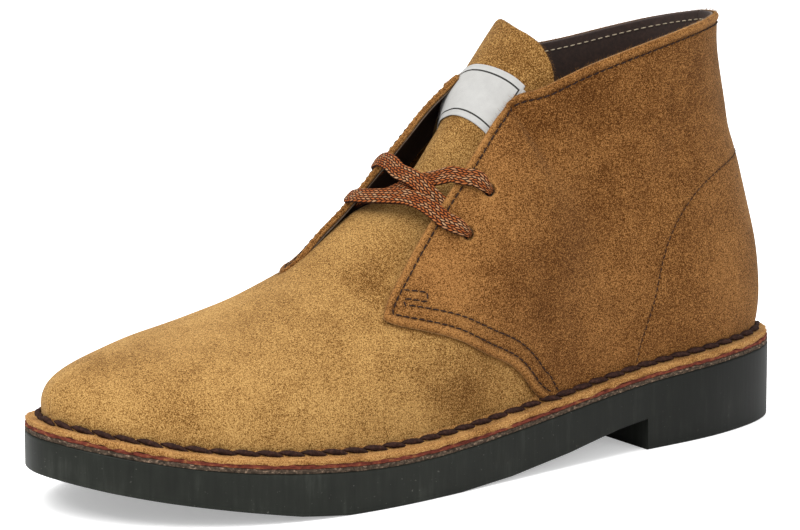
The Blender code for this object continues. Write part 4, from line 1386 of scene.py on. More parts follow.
def quarter_height(side, flat):
    """Height of a quarter's face over the last: thicker to the front, lifted over the tongue."""
    u, _ = from_flat(side, flat)
    forward = smooth_step((0.98 - u) / 0.45)
    facing = EDGES[side][1]
    facing = facing[facing[:, 0] < 0.70 * SPAN][::3]
    lift = smooth_step(1 - distance_to(flat, facing) / (12 * MM))
    most, corner = 0.5 * MM, 1.0
    if side < 0:
        most = 1.5 * MM * smooth_step((u - 0.375) / 0.05)
        corner = 0.35 + 0.65 * smooth_step((u - 0.366) / 0.045)
    return QUARTER_STEP * (0.62 + 0.38 * forward) * corner + most * lift


def on_quarter(side, flat, above=0.0):
    """Points on a quarter's face, and their normals."""
    u, t = from_flat(side, flat)
    base, normal = skin(side, u, t), skin_normal(side, u, t)
    height = quarter_height(side, flat) + above - folds(base, side)
    points = base + normal * height[:, None]
    points[:, 2] += COLLAR_RISE * smooth_step((t - 0.96) / 0.04) * smooth_step((u - 0.64) / 0.05)
    return points, normal


def guide_points(loops, rows, spacing):
    """Groups of flat points for a panel's triangles: beside its edges and seams, then an even field."""
    groups = []
    for k, loop in enumerate(loops):
        closed = np.concatenate([loop, loop[:1]])
        left_is_inside = inside(beside(closed, 0.3 * MM)[:1], loop)[0]
        sign = 1 if left_is_inside == (k == 0) else -1
        groups += [beside(closed, sign * away * MM)[:-1] for away in (0.3, 0.7, 1.2)]
    for row in rows:
        groups += [beside(row, away * MM) for away in (0.0, 0.35, -0.35, 0.8, -0.8, 1.4, -1.4)]
    low, high = loops[0].min(0), loops[0].max(0)
    across, up = np.meshgrid(
        np.arange(low[0], high[0], spacing), np.arange(low[1], high[1], spacing * 0.866)
    )
    across[1::2] += spacing / 2
    return groups + [np.stack([across.ravel(), up.ravel()], 1)]


def spaced(points, taken, limit):
    """Those of the points that keep a limit from the ones already taken, which they join."""
    cell = 1.2 * MM
    kept = []
    for p in points:
        a, b = int(p[0] // cell), int(p[1] // cell)
        near = (q for i in (a - 1, a, a + 1) for j in (b - 1, b, b + 1) for q in taken.get((i, j), ()))
        if not any((p[0] - q[0]) ** 2 + (p[1] - q[1]) ** 2 < limit * limit for q in near):
            taken.setdefault((a, b), []).append(p)
            kept.append(p)
    return kept


def filled(outline_path, holes, rows, spacing):
    """Flat points and triangles that fill an outline but not its holes, closer by edges and seams."""
    loops = [outline_path] + holes
    points, edges, taken = [], [], {}
    for loop in loops:
        start = len(points)
        points += list(loop)
        edges += [(start + k, start + (k + 1) % len(loop)) for k in range(len(loop))]
    spaced(points, taken, 0)
    groups = guide_points(loops, rows, spacing)
    for k, group in enumerate(groups):
        group = group[inside(group, outline_path)]
        for hole in holes:
            group = group[~inside(group, hole)]
        points += spaced(group, taken, 0.62 * spacing if k == len(groups) - 1 else 0.256 * MM)
    made, _, faces, *_ = geometry.delaunay_2d_cdt([Vector(p) for p in points], edges, [], 0, 1e-8)
    made = np.array([tuple(p) for p in made])
    faces = np.array([f for f in faces if len(f) == 3])
    centre = made[faces].mean(1)
    keep = inside(centre, outline_path)
    for hole in holes:
        keep &= ~inside(centre, hole)
    return made, [tuple(map(int, f)) for f in faces[keep]]


def quarter_outline(side, low_in=0.0, up_in=0.0):
    """Closed flat outline of a quarter, or of a piece of its shape further in."""
    lower, upper = corner_moved(side, low_in, up_in) if up_in else EDGES[side]
    step = 0.8 * MM
    back = resampled(np.array([[SPAN, upper[-1][1]], [SPAN, 0.0]]), step)
    foot_u = np.linspace(1, lower[0][0] / SPAN, 160)
    foot = resampled(np.stack([foot_u * SPAN, np.zeros(160)], 1), 1.2 * MM)
    return np.concatenate([lower[:-1], upper[:-1], back[:-1], foot[:-1]])


def quarter_relief(side, flat, holes):
    """What a quarter's face adds to its height: round edges, furrows and puffed bands; and to its tone:
    painted highlight on the puffed bands and near the cut edges, and painted shade in the seam furrows.
    """
    rim = distance_to(flat, np.concatenate(EDGES[side]))
    for hole in holes:
        rim = np.minimum(rim, distance_to(flat, hole, closed=True))
    above = -EDGE_ROUND * (1 - np.sqrt(1 - np.clip(1 - rim / EDGE_ROUND, 0, 1) ** 2 + 1e-9))
    back_seam = SPAN - flat[:, 0]
    above -= 0.5 * MM * np.exp(-((back_seam / (0.7 * MM)) ** 2))
    seam = np.full(len(flat), np.inf)
    for name, row in ROWS[side].items():
        near = distance_to(flat, row)
        above -= seam_depth(name) * np.exp(-((near / SEAM_WIDTH) ** 2))
        seam = np.minimum(seam, near)
    puff_and_highlight = np.exp(-(((rim - 1.3 * MM) / (0.9 * MM)) ** 2))
    # Painted highlight on the puffed band and near the cut edge, painted shade along the seams.
    tone = 0.42 * puff_and_highlight + 0.12 * smooth_step(1 - rim / EDGE_ROW)
    return above + 0.42 * MM * puff_and_highlight, tone - 0.22 * np.exp(-((seam / (0.5 * MM)) ** 2))


def quarter(side):
    """A quarter panel with rounded cut edges, eyelet holes and its seams drawn in."""
    turn = np.linspace(0, 2 * math.pi, 20, endpoint=False)
    ring = EYELET_BORE / 2 * np.stack([np.cos(turn), np.sin(turn)], 1)
    holes = [centre + ring for centre in to_flat(side, EYELETS[side])]
    rows = [resampled(row, 0.8 * MM) for row in ROWS[side].values()]
    flat, faces = filled(quarter_outline(side), holes, rows, 1.35 * MM)
    above, painted_light_and_shade = quarter_relief(side, flat, holes)
    points, normal = on_quarter(side, flat, above)
    points += normal * (0.12 * MM * ripple(points, 24 * MM, 8))[:, None]
    u, t = from_flat(side, flat)
    ground = -0.02 + 0.10 * smooth_step((0.62 - u) / 0.15) - 0.10 * smooth_step((t - 0.75) / 0.25)
    tone = tone_of(points, side, ground) + painted_light_and_shade
    faces = facing_out(points, faces, normal)
    back = points - normal * (QUARTER_THICK + np.minimum(above, 0) * 1.2)[:, None]
    behind, sides = shell_faces(faces, boundary_edges(faces), len(points))
    slots = np.repeat([0, 1, 2], [len(faces), len(behind), len(sides)])
    mats = [finish("suede_quarter"), finish("suede_flesh_side"), finish("suede_cut_edge")]
    name = "quarter_outer" if side > 0 else "quarter_inner"
    # The back, and so the back half of the cut edges, is painted 0.5 darker: painted shade on the hidden
    # side and under the rims.
    points, tone = np.concatenate([points, back]), np.concatenate([tone, tone - 0.5])
    piece = add_piece(name, points, faces + behind + sides, mats, tone, slots)
    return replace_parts(piece, "upper")


def lining(side):
    """Thin lining behind a quarter, a hair in from the cut edges."""
    flat, faces = filled(quarter_outline(side, 0.8 * MM, 0.3 * MM)[::2], [], [], 2.6 * MM)
    points, normal = on_quarter(side, flat, -QUARTER_THICK - 0.05 * MM)
    faces = facing_out(points, faces, normal)
    points, faces, rim = closed_sheet(points, faces, normal, LINING_THICK)
    name = "lining_outer" if side > 0 else "lining_inner"
    mats = [finish("lining_leather"), finish("lining_edge")]
    slots = np.repeat([0, 1], [len(faces), len(rim)])
    return add_piece(name, points, faces + rim, mats, face_slots=slots)


def around(count):
    """Sides and u all round the foot from the toe tip by the outer side to the toe again."""
    u = np.linspace(0, 1, count)
    return [(1, u[:-1]), (-1, u[::-1][:-1])]


def wall_height(side, u):
    """How far the upper stands over the last's skin near the welt."""
    start = EDGES[side][0][0][0] / SPAN
    at = smooth_step((u - start + 0.004) / 0.008)
    return at * quarter_height(side, np.stack([u * SPAN, np.zeros(len(u))], 1))


def flange_rows(side, u):
    """Points and tones of the margin at u: down the wall, out over the welt, back under."""
    rise = wall_height(side, u)
    run = np.interp(u, FINE_U, COLUMN_RUN[side])
    rows, tones = [], []
    for up, out in MARGIN_WALL:
        t = up * MM / run
        rows.append(skin(side, u, t) + skin_normal(side, u, t) * (rise + out * MM)[:, None])
        tones.append(np.zeros(len(u)))
    outwards = outline_normal(side, u)
    for away, up in MARGIN_PROFILE:
        plan = inset(side, u, away * MM)
        row = np.column_stack([plan, sole_top(plan[:, 1]) + LAYERS + up * MM])
        wave = ripple(row, 9 * MM, 11) * 0.18 + ripple(row, 2.6 * MM, 12) * 0.12
        row[:, :2] += outwards * (wave * (1.0 if away < 1.7 else 0.5) * MM)[:, None]
        droop = 0.16 if up > -1.0 else 0.42 if away < 1.0 else 0.0
        row[:, 2] += ripple(row, (11 if up > -1.0 else 6) * MM, 13) * droop * MM
        rows.append(row)
        tones.append(np.full(len(u), 0.15 if -1.3 < up < -0.2 else -0.05))
    return np.stack(rows, 1), np.stack(tones, 1)


def flange():
    """The upper's margin, turned out over the welt, with a soft fold and a rough cut edge."""
    made = [flange_rows(side, u) for side, u in around(330)]
    grid, tone = (np.concatenate([part[k] for part in made]) for k in range(2))
    n, m = grid.shape[:2]
    covered = np.concatenate([wall_height(side, u) > 0.5 * MM for side, u in around(330)])
    on_wall = np.arange(m - 1) < len(MARGIN_WALL) - 1
    slots = (covered[:, None] & on_wall[None, :]).astype(int).ravel()
    points = grid.reshape(-1, 3)
    tone = tone.reshape(-1) + 0.02 + 0.30 * ripple(points, 14 * MM, 4)
    mats = [finish("suede_cut_edge"), finish("suede_quarter")]
    faces = grid_faces(n, m, round_rows=True)
    return add_piece("welt_flange", points, faces, mats, tone, slots)


def path_object(name, points, ups):
    """A polyline with the direction that faces out of the surface, for the stitch and fibre trees."""
    mesh = bpy.data.meshes.new(name)
    mesh.from_pydata(in_frame(points).tolist(), [(k, k + 1) for k in range(len(points) - 1)], [])
    up = (np.asarray(ups, float) * [1, -1, 1]).astype(np.float32)
    mesh.attributes.new("up", "FLOAT_VECTOR", "POINT").data.foreach_set("vector", up.ravel())
    made = bpy.data.objects.new(name, mesh)
    bpy.context.scene.collection.objects.link(made)
    return made


def new_tree(name, inputs):
    """A Geometry Nodes tree with a geometry input and output and the named inputs."""
    tree = bpy.data.node_groups.new(name, "GeometryNodeTree")
    tree.interface.new_socket(name="Geometry", in_out="INPUT", socket_type="NodeSocketGeometry")
    for label, kind in inputs:
        tree.interface.new_socket(name=label, in_out="INPUT", socket_type=kind)
    tree.interface.new_socket(name="Geometry", in_out="OUTPUT", socket_type="NodeSocketGeometry")
    return tree, tree.nodes.new("NodeGroupInput").outputs, tree.nodes.new("NodeGroupOutput")


def sine_share(tree, factor):
    return sine(tree, times(tree, factor, math.pi))


def random_between(tree, seed, low, high):
    """A random vector or number for each point, the same in each run."""
    vectors = isinstance(low, tuple)
    kind, first = ("FLOAT_VECTOR", 0) if vectors else ("FLOAT", 2)
    made = node(tree, "FunctionNodeRandomValue", {"Seed": seed}, data_type=kind)
    made.inputs[first].default_value, made.inputs[first + 1].default_value = low, high
    return made.outputs[0 if vectors else 1]


def spots_along(tree, group, step):
    """The path's points a step apart, and the direction that faces out of the surface."""
    path = node(tree, "GeometryNodeMeshToCurve", {"Mesh": group["Geometry"]}).outputs[0]
    spots = node(tree, "GeometryNodeCurveToPoints", {"Curve": path, "Length": step}, mode="LENGTH")
    up = node(tree, "GeometryNodeInputNamedAttribute", {"Name": "up"}, data_type="FLOAT_VECTOR")
    return spots.outputs, up.outputs[0]


def bow(tree, resolution, start, middle, end):
    """A curve from a start to an end that a middle point draws off the line."""
    inputs = {"Resolution": resolution, "Start": start, "Middle": middle, "End": end}
    return node(tree, "GeometryNodeCurveQuadraticBezier", inputs).outputs[0]


def swept(tree, curve, ring, scale, capped):
    inputs = {"Curve": curve, "Profile Curve": ring, "Scale": scale, "Fill Caps": capped}
    return node(tree, "GeometryNodeCurveToMesh", inputs).outputs[0]


def copies_on(tree, points, instance, rotation, scale=(1.0, 1.0, 1.0)):
    inputs = {"Points": points, "Instance": instance, "Rotation": rotation, "Scale": scale}
    return node(tree, "GeometryNodeInstanceOnPoints", inputs).outputs[0]


def close_tree(tree, group, out, instances):
    """The copies made real, with their material and smooth faces, as the tree's result."""
    real = node(tree, "GeometryNodeRealizeInstances", {"Geometry": instances}).outputs[0]
    coat = node(tree, "GeometryNodeSetMaterial", {"Geometry": real, "Material": group["Material"]})
    smooth = node(tree, "GeometryNodeSetShadeSmooth", {"Geometry": coat.outputs[0]}).outputs[0]
    tree.links.new(smooth, out.inputs["Geometry"])


def thread_ring(tree, thickness):
    """The section of a thread: a circle with three plies bulging."""
    circle = node(tree, "GeometryNodeCurvePrimitiveCircle", {"Resolution": 9}, mode="RADIUS")
    tree.links.new(times(tree, thickness, 0.5), circle.inputs["Radius"])
    place = node(tree, "GeometryNodeInputPosition").outputs[0]
    index = node(tree, "GeometryNodeInputIndex").outputs[0]
    ply = sine(tree, times(tree, index, 2 * math.pi / 3))
    bulge = plus(tree, 1.0, times(tree, ply, 0.14))
    moved = node(tree, "ShaderNodeVectorMath", {0: place, "Scale": bulge}, operation="SCALE")
    inputs = {"Geometry": circle.outputs[0], "Position": moved.outputs[0]}
    return node(tree, "GeometryNodeSetPosition", inputs).outputs[0]


def stitch_tree():
    """Stitches along paths: each an arched thread, thinner at its ends, with its plies twisted."""
    found = bpy.data.node_groups.get("stitches")
    if found:
        return found
    sizes = ("Pitch", "Length", "Thickness", "Arch", "Slant", "Taper")
    inputs = [(name, "NodeSocketFloat") for name in sizes]
    tree, group, out = new_tree("stitches", inputs + [("Material", "NodeSocketMaterial")])
    spots, up = spots_along(tree, group, group["Pitch"])
    half = times(tree, group["Length"], 0.5)
    low = times(tree, group["Arch"], -0.6)
    start = node(tree, "ShaderNodeCombineXYZ", {"X": times(tree, half, -1.0), "Z": low}).outputs[0]
    end = node(tree, "ShaderNodeCombineXYZ", {"X": half, "Z": low}).outputs[0]
    top = node(tree, "ShaderNodeCombineXYZ", {"Z": times(tree, group["Arch"], 1.7)}).outputs[0]
    factor = node(tree, "GeometryNodeSplineParameter").outputs["Factor"]
    twist = times(tree, factor, 4.0)
    arch = bow(tree, 8, start, top, end)
    arch = node(tree, "GeometryNodeSetCurveTilt", {"Curve": arch, "Tilt": twist}).outputs[0]
    swell = times(tree, sine_share(tree, factor), group["Taper"])
    size = plus(tree, minus(tree, 1.0, group["Taper"]), swell)
    thread = swept(tree, arch, thread_ring(tree, group["Thickness"]), size, True)
    turn = node(tree, "FunctionNodeAlignRotationToVector", {"Vector": spots["Tangent"]}, axis="X")
    inputs = {"Rotation": turn.outputs[0], "Vector": up}
    turn = node(tree, "FunctionNodeAlignRotationToVector", inputs, axis="Z", pivot_axis="X")
    angle = plus(tree, group["Slant"], random_between(tree, 4, -0.05, 0.05))
    slant = node(tree, "FunctionNodeAxisAngleToRotation", {"Axis": (0, 0, 1), "Angle": angle})
    inputs = {"Rotation": turn.outputs[0], "Rotate By": slant.outputs[0]}
    turned = node(tree, "FunctionNodeRotateRotation", inputs, rotation_space="LOCAL").outputs[0]
    close_tree(tree, group, out, copies_on(tree, spots["Points"], thread, turned))
    return tree


def fibre_tree():
    """Short bent fibres along paths, scattered round the path with a fixed seed."""
    found = bpy.data.node_groups.get("fibres")
    if found:
        return found
    inputs = [(name, "NodeSocketFloat") for name in ("Spacing", "Length", "Thickness", "Spread")]
    tree, group, out = new_tree("fibres", inputs + [("Material", "NodeSocketMaterial")])
    spots, up = spots_along(tree, group, group["Spacing"])
    shift = random_between(tree, 7, (-1, -1, -1), (1, 1, 1))
    shift = node(tree, "ShaderNodeVectorMath", {0: shift, "Scale": group["Spread"]}, operation="SCALE")
    inputs = {"Geometry": spots["Points"], "Offset": shift.outputs[0]}
    moved = node(tree, "GeometryNodeSetPosition", inputs).outputs[0]
    bent = bow(tree, 3, (0, 0, -0.3), (0.05, 0, 0.5), (0.5, 0.1, 0.85))
    factor = node(tree, "GeometryNodeSplineParameter").outputs["Factor"]
    thin = minus(tree, 1.0, times(tree, factor, 0.8))
    inputs = {"Resolution": 3, "Radius": 1.0}
    ring = node(tree, "GeometryNodeCurvePrimitiveCircle", inputs, mode="RADIUS").outputs[0]
    ratio = maths(tree, "DIVIDE", times(tree, group["Thickness"], 0.5), group["Length"])
    ring = node(tree, "GeometryNodeTransform", {"Geometry": ring, "Scale": ratio}).outputs[0]
    fibre = swept(tree, bent, ring, thin, False)
    lean = random_between(tree, 9, (-0.7, -0.7, -0.7), (0.7, 0.7, 0.7))
    aim = node(tree, "ShaderNodeVectorMath", {0: up, 1: lean}, operation="ADD").outputs[0]
    turn = node(tree, "FunctionNodeAlignRotationToVector", {"Vector": aim}, axis="Z").outputs[0]
    scale = times(tree, random_between(tree, 12, 0.45, 1.3), group["Length"])
    close_tree(tree, group, out, copies_on(tree, moved, fibre, turn, scale))
    return tree


def grown(name, paths, tree, values, finish_name):
    """Runs a tree on paths and leaves one plain mesh of them all."""
    made = []
    for k, (points, ups) in enumerate(paths):
        piece = path_object(f"{name}_{k}", points, ups)
        modifier = piece.modifiers.new("grown", "NODES")
        modifier.node_group = tree
        chosen = {**values, "Material": finish(finish_name)}
        for socket in tree.interface.items_tree:
            if socket.in_out == "INPUT" and socket.name in chosen:
                modifier[socket.identifier] = chosen[socket.name]
        made.append(piece)
    graph = bpy.context.evaluated_depsgraph_get()
    bm = bmesh.new()
    for piece in made:
        mesh = bpy.data.meshes.new_from_object(piece.evaluated_get(graph))
        bm.from_mesh(mesh)
        bpy.data.meshes.remove(mesh)
        bpy.data.objects.remove(piece)
    mesh = bpy.data.meshes.new(name)
    bmesh.ops.recalc_face_normals(bm, faces=bm.faces)
    bm.to_mesh(mesh)
    bm.free()
    for extra in list(mesh.attributes):
        if extra.name == "up":
            mesh.attributes.remove(extra)
    mesh.materials.clear()
    mesh.materials.append(finish(finish_name))
    mesh.shade_smooth()
    piece = bpy.data.objects.new(name, mesh)
    bpy.context.scene.collection.objects.link(piece)
    return finished(piece)


def seam_paths(name, lift):
    """Solid paths of a quarter's stitch row, on both sides."""
    lift = lift - seam_depth(name)
    return [on_quarter(side, resampled(ROWS[side][name], 1.0 * MM), lift) for side in (1, -1)]


def sewn(name, paths, finish_name, pitch, length, thickness, arch, slant, taper):
    """A row of stitches: its pitch, the stitch's length (of the pitch), thickness, arch and slant."""
    values = {"Pitch": pitch, "Length": pitch * length, "Thickness": thickness, "Arch": arch}
    values.update({"Slant": slant, "Taper": taper})
    return grown(name, paths, stitch_tree(), values, finish_name)


def upper_stitches():
    """The rows along the quarters' edges, and the finer one of the heel counter."""
    sizes = bpy.context.scene.boot_sizes
    pitch, thick = sizes.stitch_pitch, sizes.thread_thick
    edge, second = seam_paths("edge_row", 0.30 * MM), seam_paths("second_row", 0.30 * MM)
    paths = [edge[0], second[0], edge[1], second[1]]
    sewn("upper_stitches", paths, "thread_dark", pitch, 0.80, thick, 0.30 * MM, 0.05, 0.35)
    counter, pitch = seam_paths("counter_row", 0.20 * MM), pitch * 0.85
    length = 0.62 / 0.85
    thick = thick * 0.65
    sewn("counter_stitches", counter, "thread_dark", pitch, length, thick, 0.25 * MM, 0.05, 0.35)


def lining_stitches():
    """The cream side of the collar's row, inside."""
    sizes = bpy.context.scene.boot_sizes
    paths = []
    for side in (1, -1):
        row = ROWS[side]["edge_row"]
        row = resampled(row[row[:, 0] > 0.60 * SPAN], 1.0 * MM)
        points, normal = on_quarter(side, row, -QUARTER_THICK - LINING_THICK - 0.16 * MM)
        paths.append((points, -normal))
    pitch, thick = sizes.stitch_pitch, sizes.thread_thick
    sewn("lining_stitches", paths, "thread_cream", pitch, 0.60, thick, 0.25 * MM, 0.0, 0.3)


def welt_stitches():
    """The heavy row in the angle between the upper and its turned-out margin."""
    sizes = bpy.context.scene.boot_sizes
    points, ups = [], []
    for side, u in around(400):
        plan = inset(side, u, 4.95 * MM - 0.8 * wall_height(side, u))
        points.append(np.column_stack([plan, sole_top(plan[:, 1]) + LAYERS + 0.95 * MM]))
        ups.append(np.column_stack([outline_normal(side, u) * 0.75, np.full(len(u), 0.66)]))
    points, ups = np.concatenate(points + [points[0][:1]]), np.concatenate(ups + [ups[0][:1]])
    pitch, thick = sizes.welt_pitch, sizes.welt_thread
    path = [(points, ups)]
    sewn("welt_stitches", path, "thread_welt", pitch, 1.22, thick, 0.70 * MM, -0.15, 0.72)


def away_from_edge(path, normal, upwards):
    """Unit vectors in the surface, square to a path, on the side that is higher or lower in its middle."""
    out = unit(np.cross(np.gradient(path, axis=0), normal))
    return out if (out[len(out) // 2, 2] > 0) == upwards else -out


def tongue_rim():
    """The path round the tongue's top, a little behind its face, and the directions out of it."""
    us = np.linspace(0.5, RIDGE_END, 12)
    shares = np.sin(np.linspace(0, math.pi / 2, 30))[1:]
    net, normal = tongue_net(us, shares, np.linspace(-1, 1, 41))
    first = len(us)
    rim, face = (
        np.concatenate([grid[first:, 0], grid[-1, 1:-1], grid[first:, -1][::-1]]) for grid in (net, normal)
    )
    out = rim - net[first : first + 6, 20].mean(0)
    out -= (out * face).sum(1)[:, None] * face
    return rim - face * 0.8 * MM, unit(out)


def edge_fibres():
    """Loose suede fibres on the cut edges of the quarters and the tongue."""
    paths = []
    for side in (1, -1):
        upper, normal = on_quarter(side, EDGES[side][1][2:-1], -0.9 * MM)
        paths.append((upper, away_from_edge(upper, normal, True)))
        lower, normal = on_quarter(side, EDGES[side][0], -1.0 * MM)
        paths.append((lower, away_from_edge(lower, normal, False) * 0.6 + normal * 0.6))
    paths.append(tongue_rim())
    values = {"Spacing": 0.16 * MM, "Length": 1.1 * MM, "Thickness": 0.07 * MM, "Spread": 0.55 * MM}
    return grown("edge_fibres", paths, fibre_tree(), values, "loose_fibre")


def welt_fibres():
    """Loose suede fibres on the cut edge of the turned-out margin."""
    paths = []
    for side, u in around(300):
        plan = inset(side, u, 0.62 * MM)
        points = np.column_stack([plan, sole_top(plan[:, 1]) + LAYERS - 0.75 * MM])
        paths.append((points, np.column_stack([outline_normal(side, u), np.zeros(len(u))])))
    values = {"Spacing": 0.20 * MM, "Length": 0.7 * MM, "Thickness": 0.08 * MM, "Spread": 0.5 * MM}
    return grown("welt_fibres", paths, fibre_tree(), values, "loose_fibre")


def strap_line(rows):
    """A strap's middle line, the normals that its flat side faces, and the distance along it."""
    anchor = np.array([skin(s, u, t) + skin_normal(s, u, t) * h * LACE_THICK for s, u, t, h in rows])
    normal = np.array([skin_normal(s, u, t) for s, u, t, h in rows])
    run = run_along(anchor)
    at = np.linspace(0, run[-1], int(run[-1] / (0.35 * MM)))
    line, normal = spline(run, anchor, at), spline(run, normal, at)
    along = unit(np.gradient(line, axis=0))
    normal = unit(normal - (normal * along).sum(1)[:, None] * along)
    for _ in range(8):
        normal[1:-1] = (normal[:-2] + normal[1:-1] + normal[2:]) / 3
    normal = unit(normal)
    across = np.cross(along, normal)
    sway = 0.25 * MM * np.sin(at / (7 * MM) + len(rows))
    return line + across * sway[:, None], normal, across, at


def lace_strap(name, rows):
    """A flat braid strap that narrows where it goes down into its eyelet."""
    line, normal, across, at = strap_line(rows)
    ends = np.minimum(at, at[-1] - at)
    narrows = smooth_step((ends - 1.2 * MM) / (7.5 * MM))
    wide = LACE_WIDTH * (0.46 + 0.54 * narrows)
    deep = LACE_THICK * (1.25 - 0.33 * narrows)
    if name != "lace_bar":
        hidden_half = at > 0.5 * at[-1]
        wide = np.where(hidden_half, LACE_WIDTH, wide)
        deep = np.where(hidden_half, LACE_THICK * 0.92, deep)
    turn = np.linspace(0, 2 * math.pi, 36, endpoint=False)
    cos, sin = np.cos(turn), np.sin(turn)
    flat_x = np.sign(cos) * np.abs(cos) ** 0.55
    flat_z = np.sign(sin) * np.abs(sin) ** 0.75
    rings = (
        line[:, None]
        + across[:, None] * (wide / 2)[:, None, None] * flat_x[None, :, None]
        + normal[:, None] * (deep / 2)[:, None, None] * flat_z[None, :, None]
    )
    n, m = rings.shape[:2]
    faces = grid_faces(n, m, round_columns=True)
    faces += [tuple(range(m)), tuple(range((n - 1) * m, n * m))]
    uv = np.stack([np.repeat(at, m), np.tile(0.5 + 0.5 * flat_x, n)], 1)
    return rings.reshape(-1, 3), faces, uv


def lace():
    """The bar and the two crossings of the lace."""
    for name, rows in LACE_PATHS.items():
        points, faces, uv = lace_strap(name, rows)
        piece = add_piece(name, points, faces, [finish("lace_braid")], uv=uv)
        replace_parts(piece, "lace")


def label_net(ups, places):
    """Points and normals of the tongue under the label, at heights and places across."""
    us = np.linspace(0.48, RIDGE_END, 40)
    shares = np.linspace(0, 1, 60)[1:]
    net, normal = tongue_net(us, shares, np.linspace(-1, 1, 61))
    middle = net.shape[1] // 2
    run = run_along(net[:, middle])
    low = run[-1] - LABEL_HEIGHT - LABEL_DROP
    made = []
    for grid in (net, normal):
        rows = []
        for line, values in zip(net, grid):
            width = run_along(line)
            spots = places + LABEL_SHIFT + width[middle]
            rows.append([np.interp(spots, width, values[:, k]) for k in range(3)])
        rows = np.array(rows)
        columns_ = []
        for j, place in enumerate(places):
            at = low + ups + LABEL_TILT * place
            columns_.append([np.interp(at, run, rows[:, k, j]) for k in range(3)])
        made.append(np.array(columns_).transpose(2, 0, 1).reshape(-1, 3))
    return made


def label():
    """The blank woven label, sewn flat on the tongue."""
    half_wide, half_high = LABEL_WIDTH / 2, LABEL_HEIGHT / 2
    ups, places = np.linspace(0, LABEL_HEIGHT, 40), np.linspace(-half_wide, half_wide, 60)
    sheet, out = label_net(ups, places)
    x, y = (part.ravel() for part in np.meshgrid(places, ups - half_high))
    from_end, from_side = half_wide - np.abs(x), half_high - np.abs(y)
    lift = GAP + LABEL_THICK + 0.10 * MM * ripple(np.column_stack([x, y, 0 * x]), 14 * MM, 21)
    edge = np.minimum(from_end, from_side)
    lift -= 0.28 * MM * np.exp(-(((edge - 1.1 * MM) / (0.5 * MM)) ** 2))
    from_corner = np.maximum(from_end, from_side)
    faces = grid_faces(len(ups), len(places))
    faces = [face for face in faces if from_corner[list(face)].max() > LABEL_NOTCH]
    points, faces, rim = closed_sheet(sheet + out * lift[:, None], faces, out, LABEL_THICK)
    used = np.unique(np.concatenate([list(face) for face in faces + rim]))
    number = np.zeros(len(points), int)
    number[used] = np.arange(len(used))
    faces = [tuple(int(k) for k in number[list(face)]) for face in faces + rim]
    uv = np.tile(np.column_stack([x, y]), (2, 1))[used]
    mats = [finish("label_weave")]
    piece = add_piece("label_blank", points[used], faces, mats, uv=uv)
    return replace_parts(piece, "tongue_label")


def paper_floor(behind, right):
    """A pale floor that curves up behind; it glows a little for the camera, as a light table does."""
    bend, reach, half_wide = 1.5, 1.2, 6.0
    turn = np.linspace(0, math.pi / 2, 24)[1:]
    profile = [(-3.0, 0.0), (reach, 0.0)]
    profile += [(reach + bend * math.sin(k), bend * (1 - math.cos(k))) for k in turn]
    profile.append((reach + bend, 5.0))
    sides = (-half_wide, half_wide)
    points = [behind * y + right * x + Vector((0, 0, z)) for y, z in profile for x in sides]
    mesh = bpy.data.meshes.new("floor_sweep")
    faces = [(2 * k, 2 * k + 1, 2 * k + 3, 2 * k + 2) for k in range(len(profile) - 1)]
    mesh.from_pydata([tuple(p) for p in points], [], faces)
    paper, tree, shader = surface("paper_white", 0.9, 0.1)
    grain = noise(tree, node(tree, "ShaderNodeTexCoord").outputs["Object"], 60.0, 3.0)
    white = ramp(tree, grain, ((0.3, (0.88, 0.88, 0.88)), (0.7, (0.90, 0.90, 0.90))))
    tree.links.new(white, shader.inputs["Base Color"])
    lit = node(tree, "ShaderNodeLightPath").outputs["Is Camera Ray"]
    shader.inputs["Emission Color"].default_value = (1, 1, 1, 1)
    tree.links.new(times(tree, lit, 0.36), shader.inputs["Emission Strength"])
    mesh.materials.append(paper)
    mesh.shade_smooth()
    floor = bpy.data.objects.new("floor_sweep", mesh)
    bpy.context.scene.collection.objects.link(floor)


def aimed(name, data, place, target):
    """A light or camera at a place, looking at the target."""
    made = bpy.data.objects.new(name, data)
    made.location = place
    made.rotation_euler = (target - place).to_track_quat("-Z", "Y").to_euler()
    bpy.context.scene.collection.objects.link(made)
    return made


def studio():
    """Pale floor, sky, soft lights and the camera."""
    scene = bpy.context.scene
    scene.view_settings.view_transform = "Standard"
    sky = bpy.data.worlds.new("studio_sky")
    sky.use_nodes = True
    back = sky.node_tree.nodes["Background"]
    back.inputs["Color"].default_value = (1.0, 1.0, 1.0, 1)
    back.inputs["Strength"].default_value = 0.75
    scene.world = sky
    a, e = math.radians(CAMERA_AZIMUTH), math.radians(CAMERA_ELEVATION)
    behind, right = Vector((-math.sin(a), math.cos(a), 0)), Vector((math.cos(a), math.sin(a), 0))
    paper_floor(behind, right)
    target = Vector(CAMERA_TARGET)
    lights = (
        ("key_light", behind * -0.9 + right * -0.9 + Vector((0, 0, 1.5)), 1.1, 30.0),
        ("side_light", behind * -1.1 + right * 1.3 + Vector((0, 0, 0.7)), 1.0, 9.0),
        ("top_light", Vector((0, 0, 1.9)) + behind * 0.2, 1.6, 16.0),
        ("back_light", behind * 1.0 + right * 0.6 + Vector((0, 0, 1.4)), 1.0, 10.0),
    )
    for name, place, size, power in lights:
        lamp = bpy.data.lights.new(name, "AREA")
        lamp.shape, lamp.size, lamp.energy = "SQUARE", size, power
        aimed(name, lamp, target + place, target)
    camera = bpy.data.cameras.new("photo_camera")
    camera.lens, camera.sensor_width = CAMERA_LENS, 36.0
    away = Vector((math.sin(a) * math.cos(e), -math.cos(a) * math.cos(e), math.sin(e)))
    scene.camera = aimed("photo_camera", camera, target + away * CAMERA_DISTANCE, target)


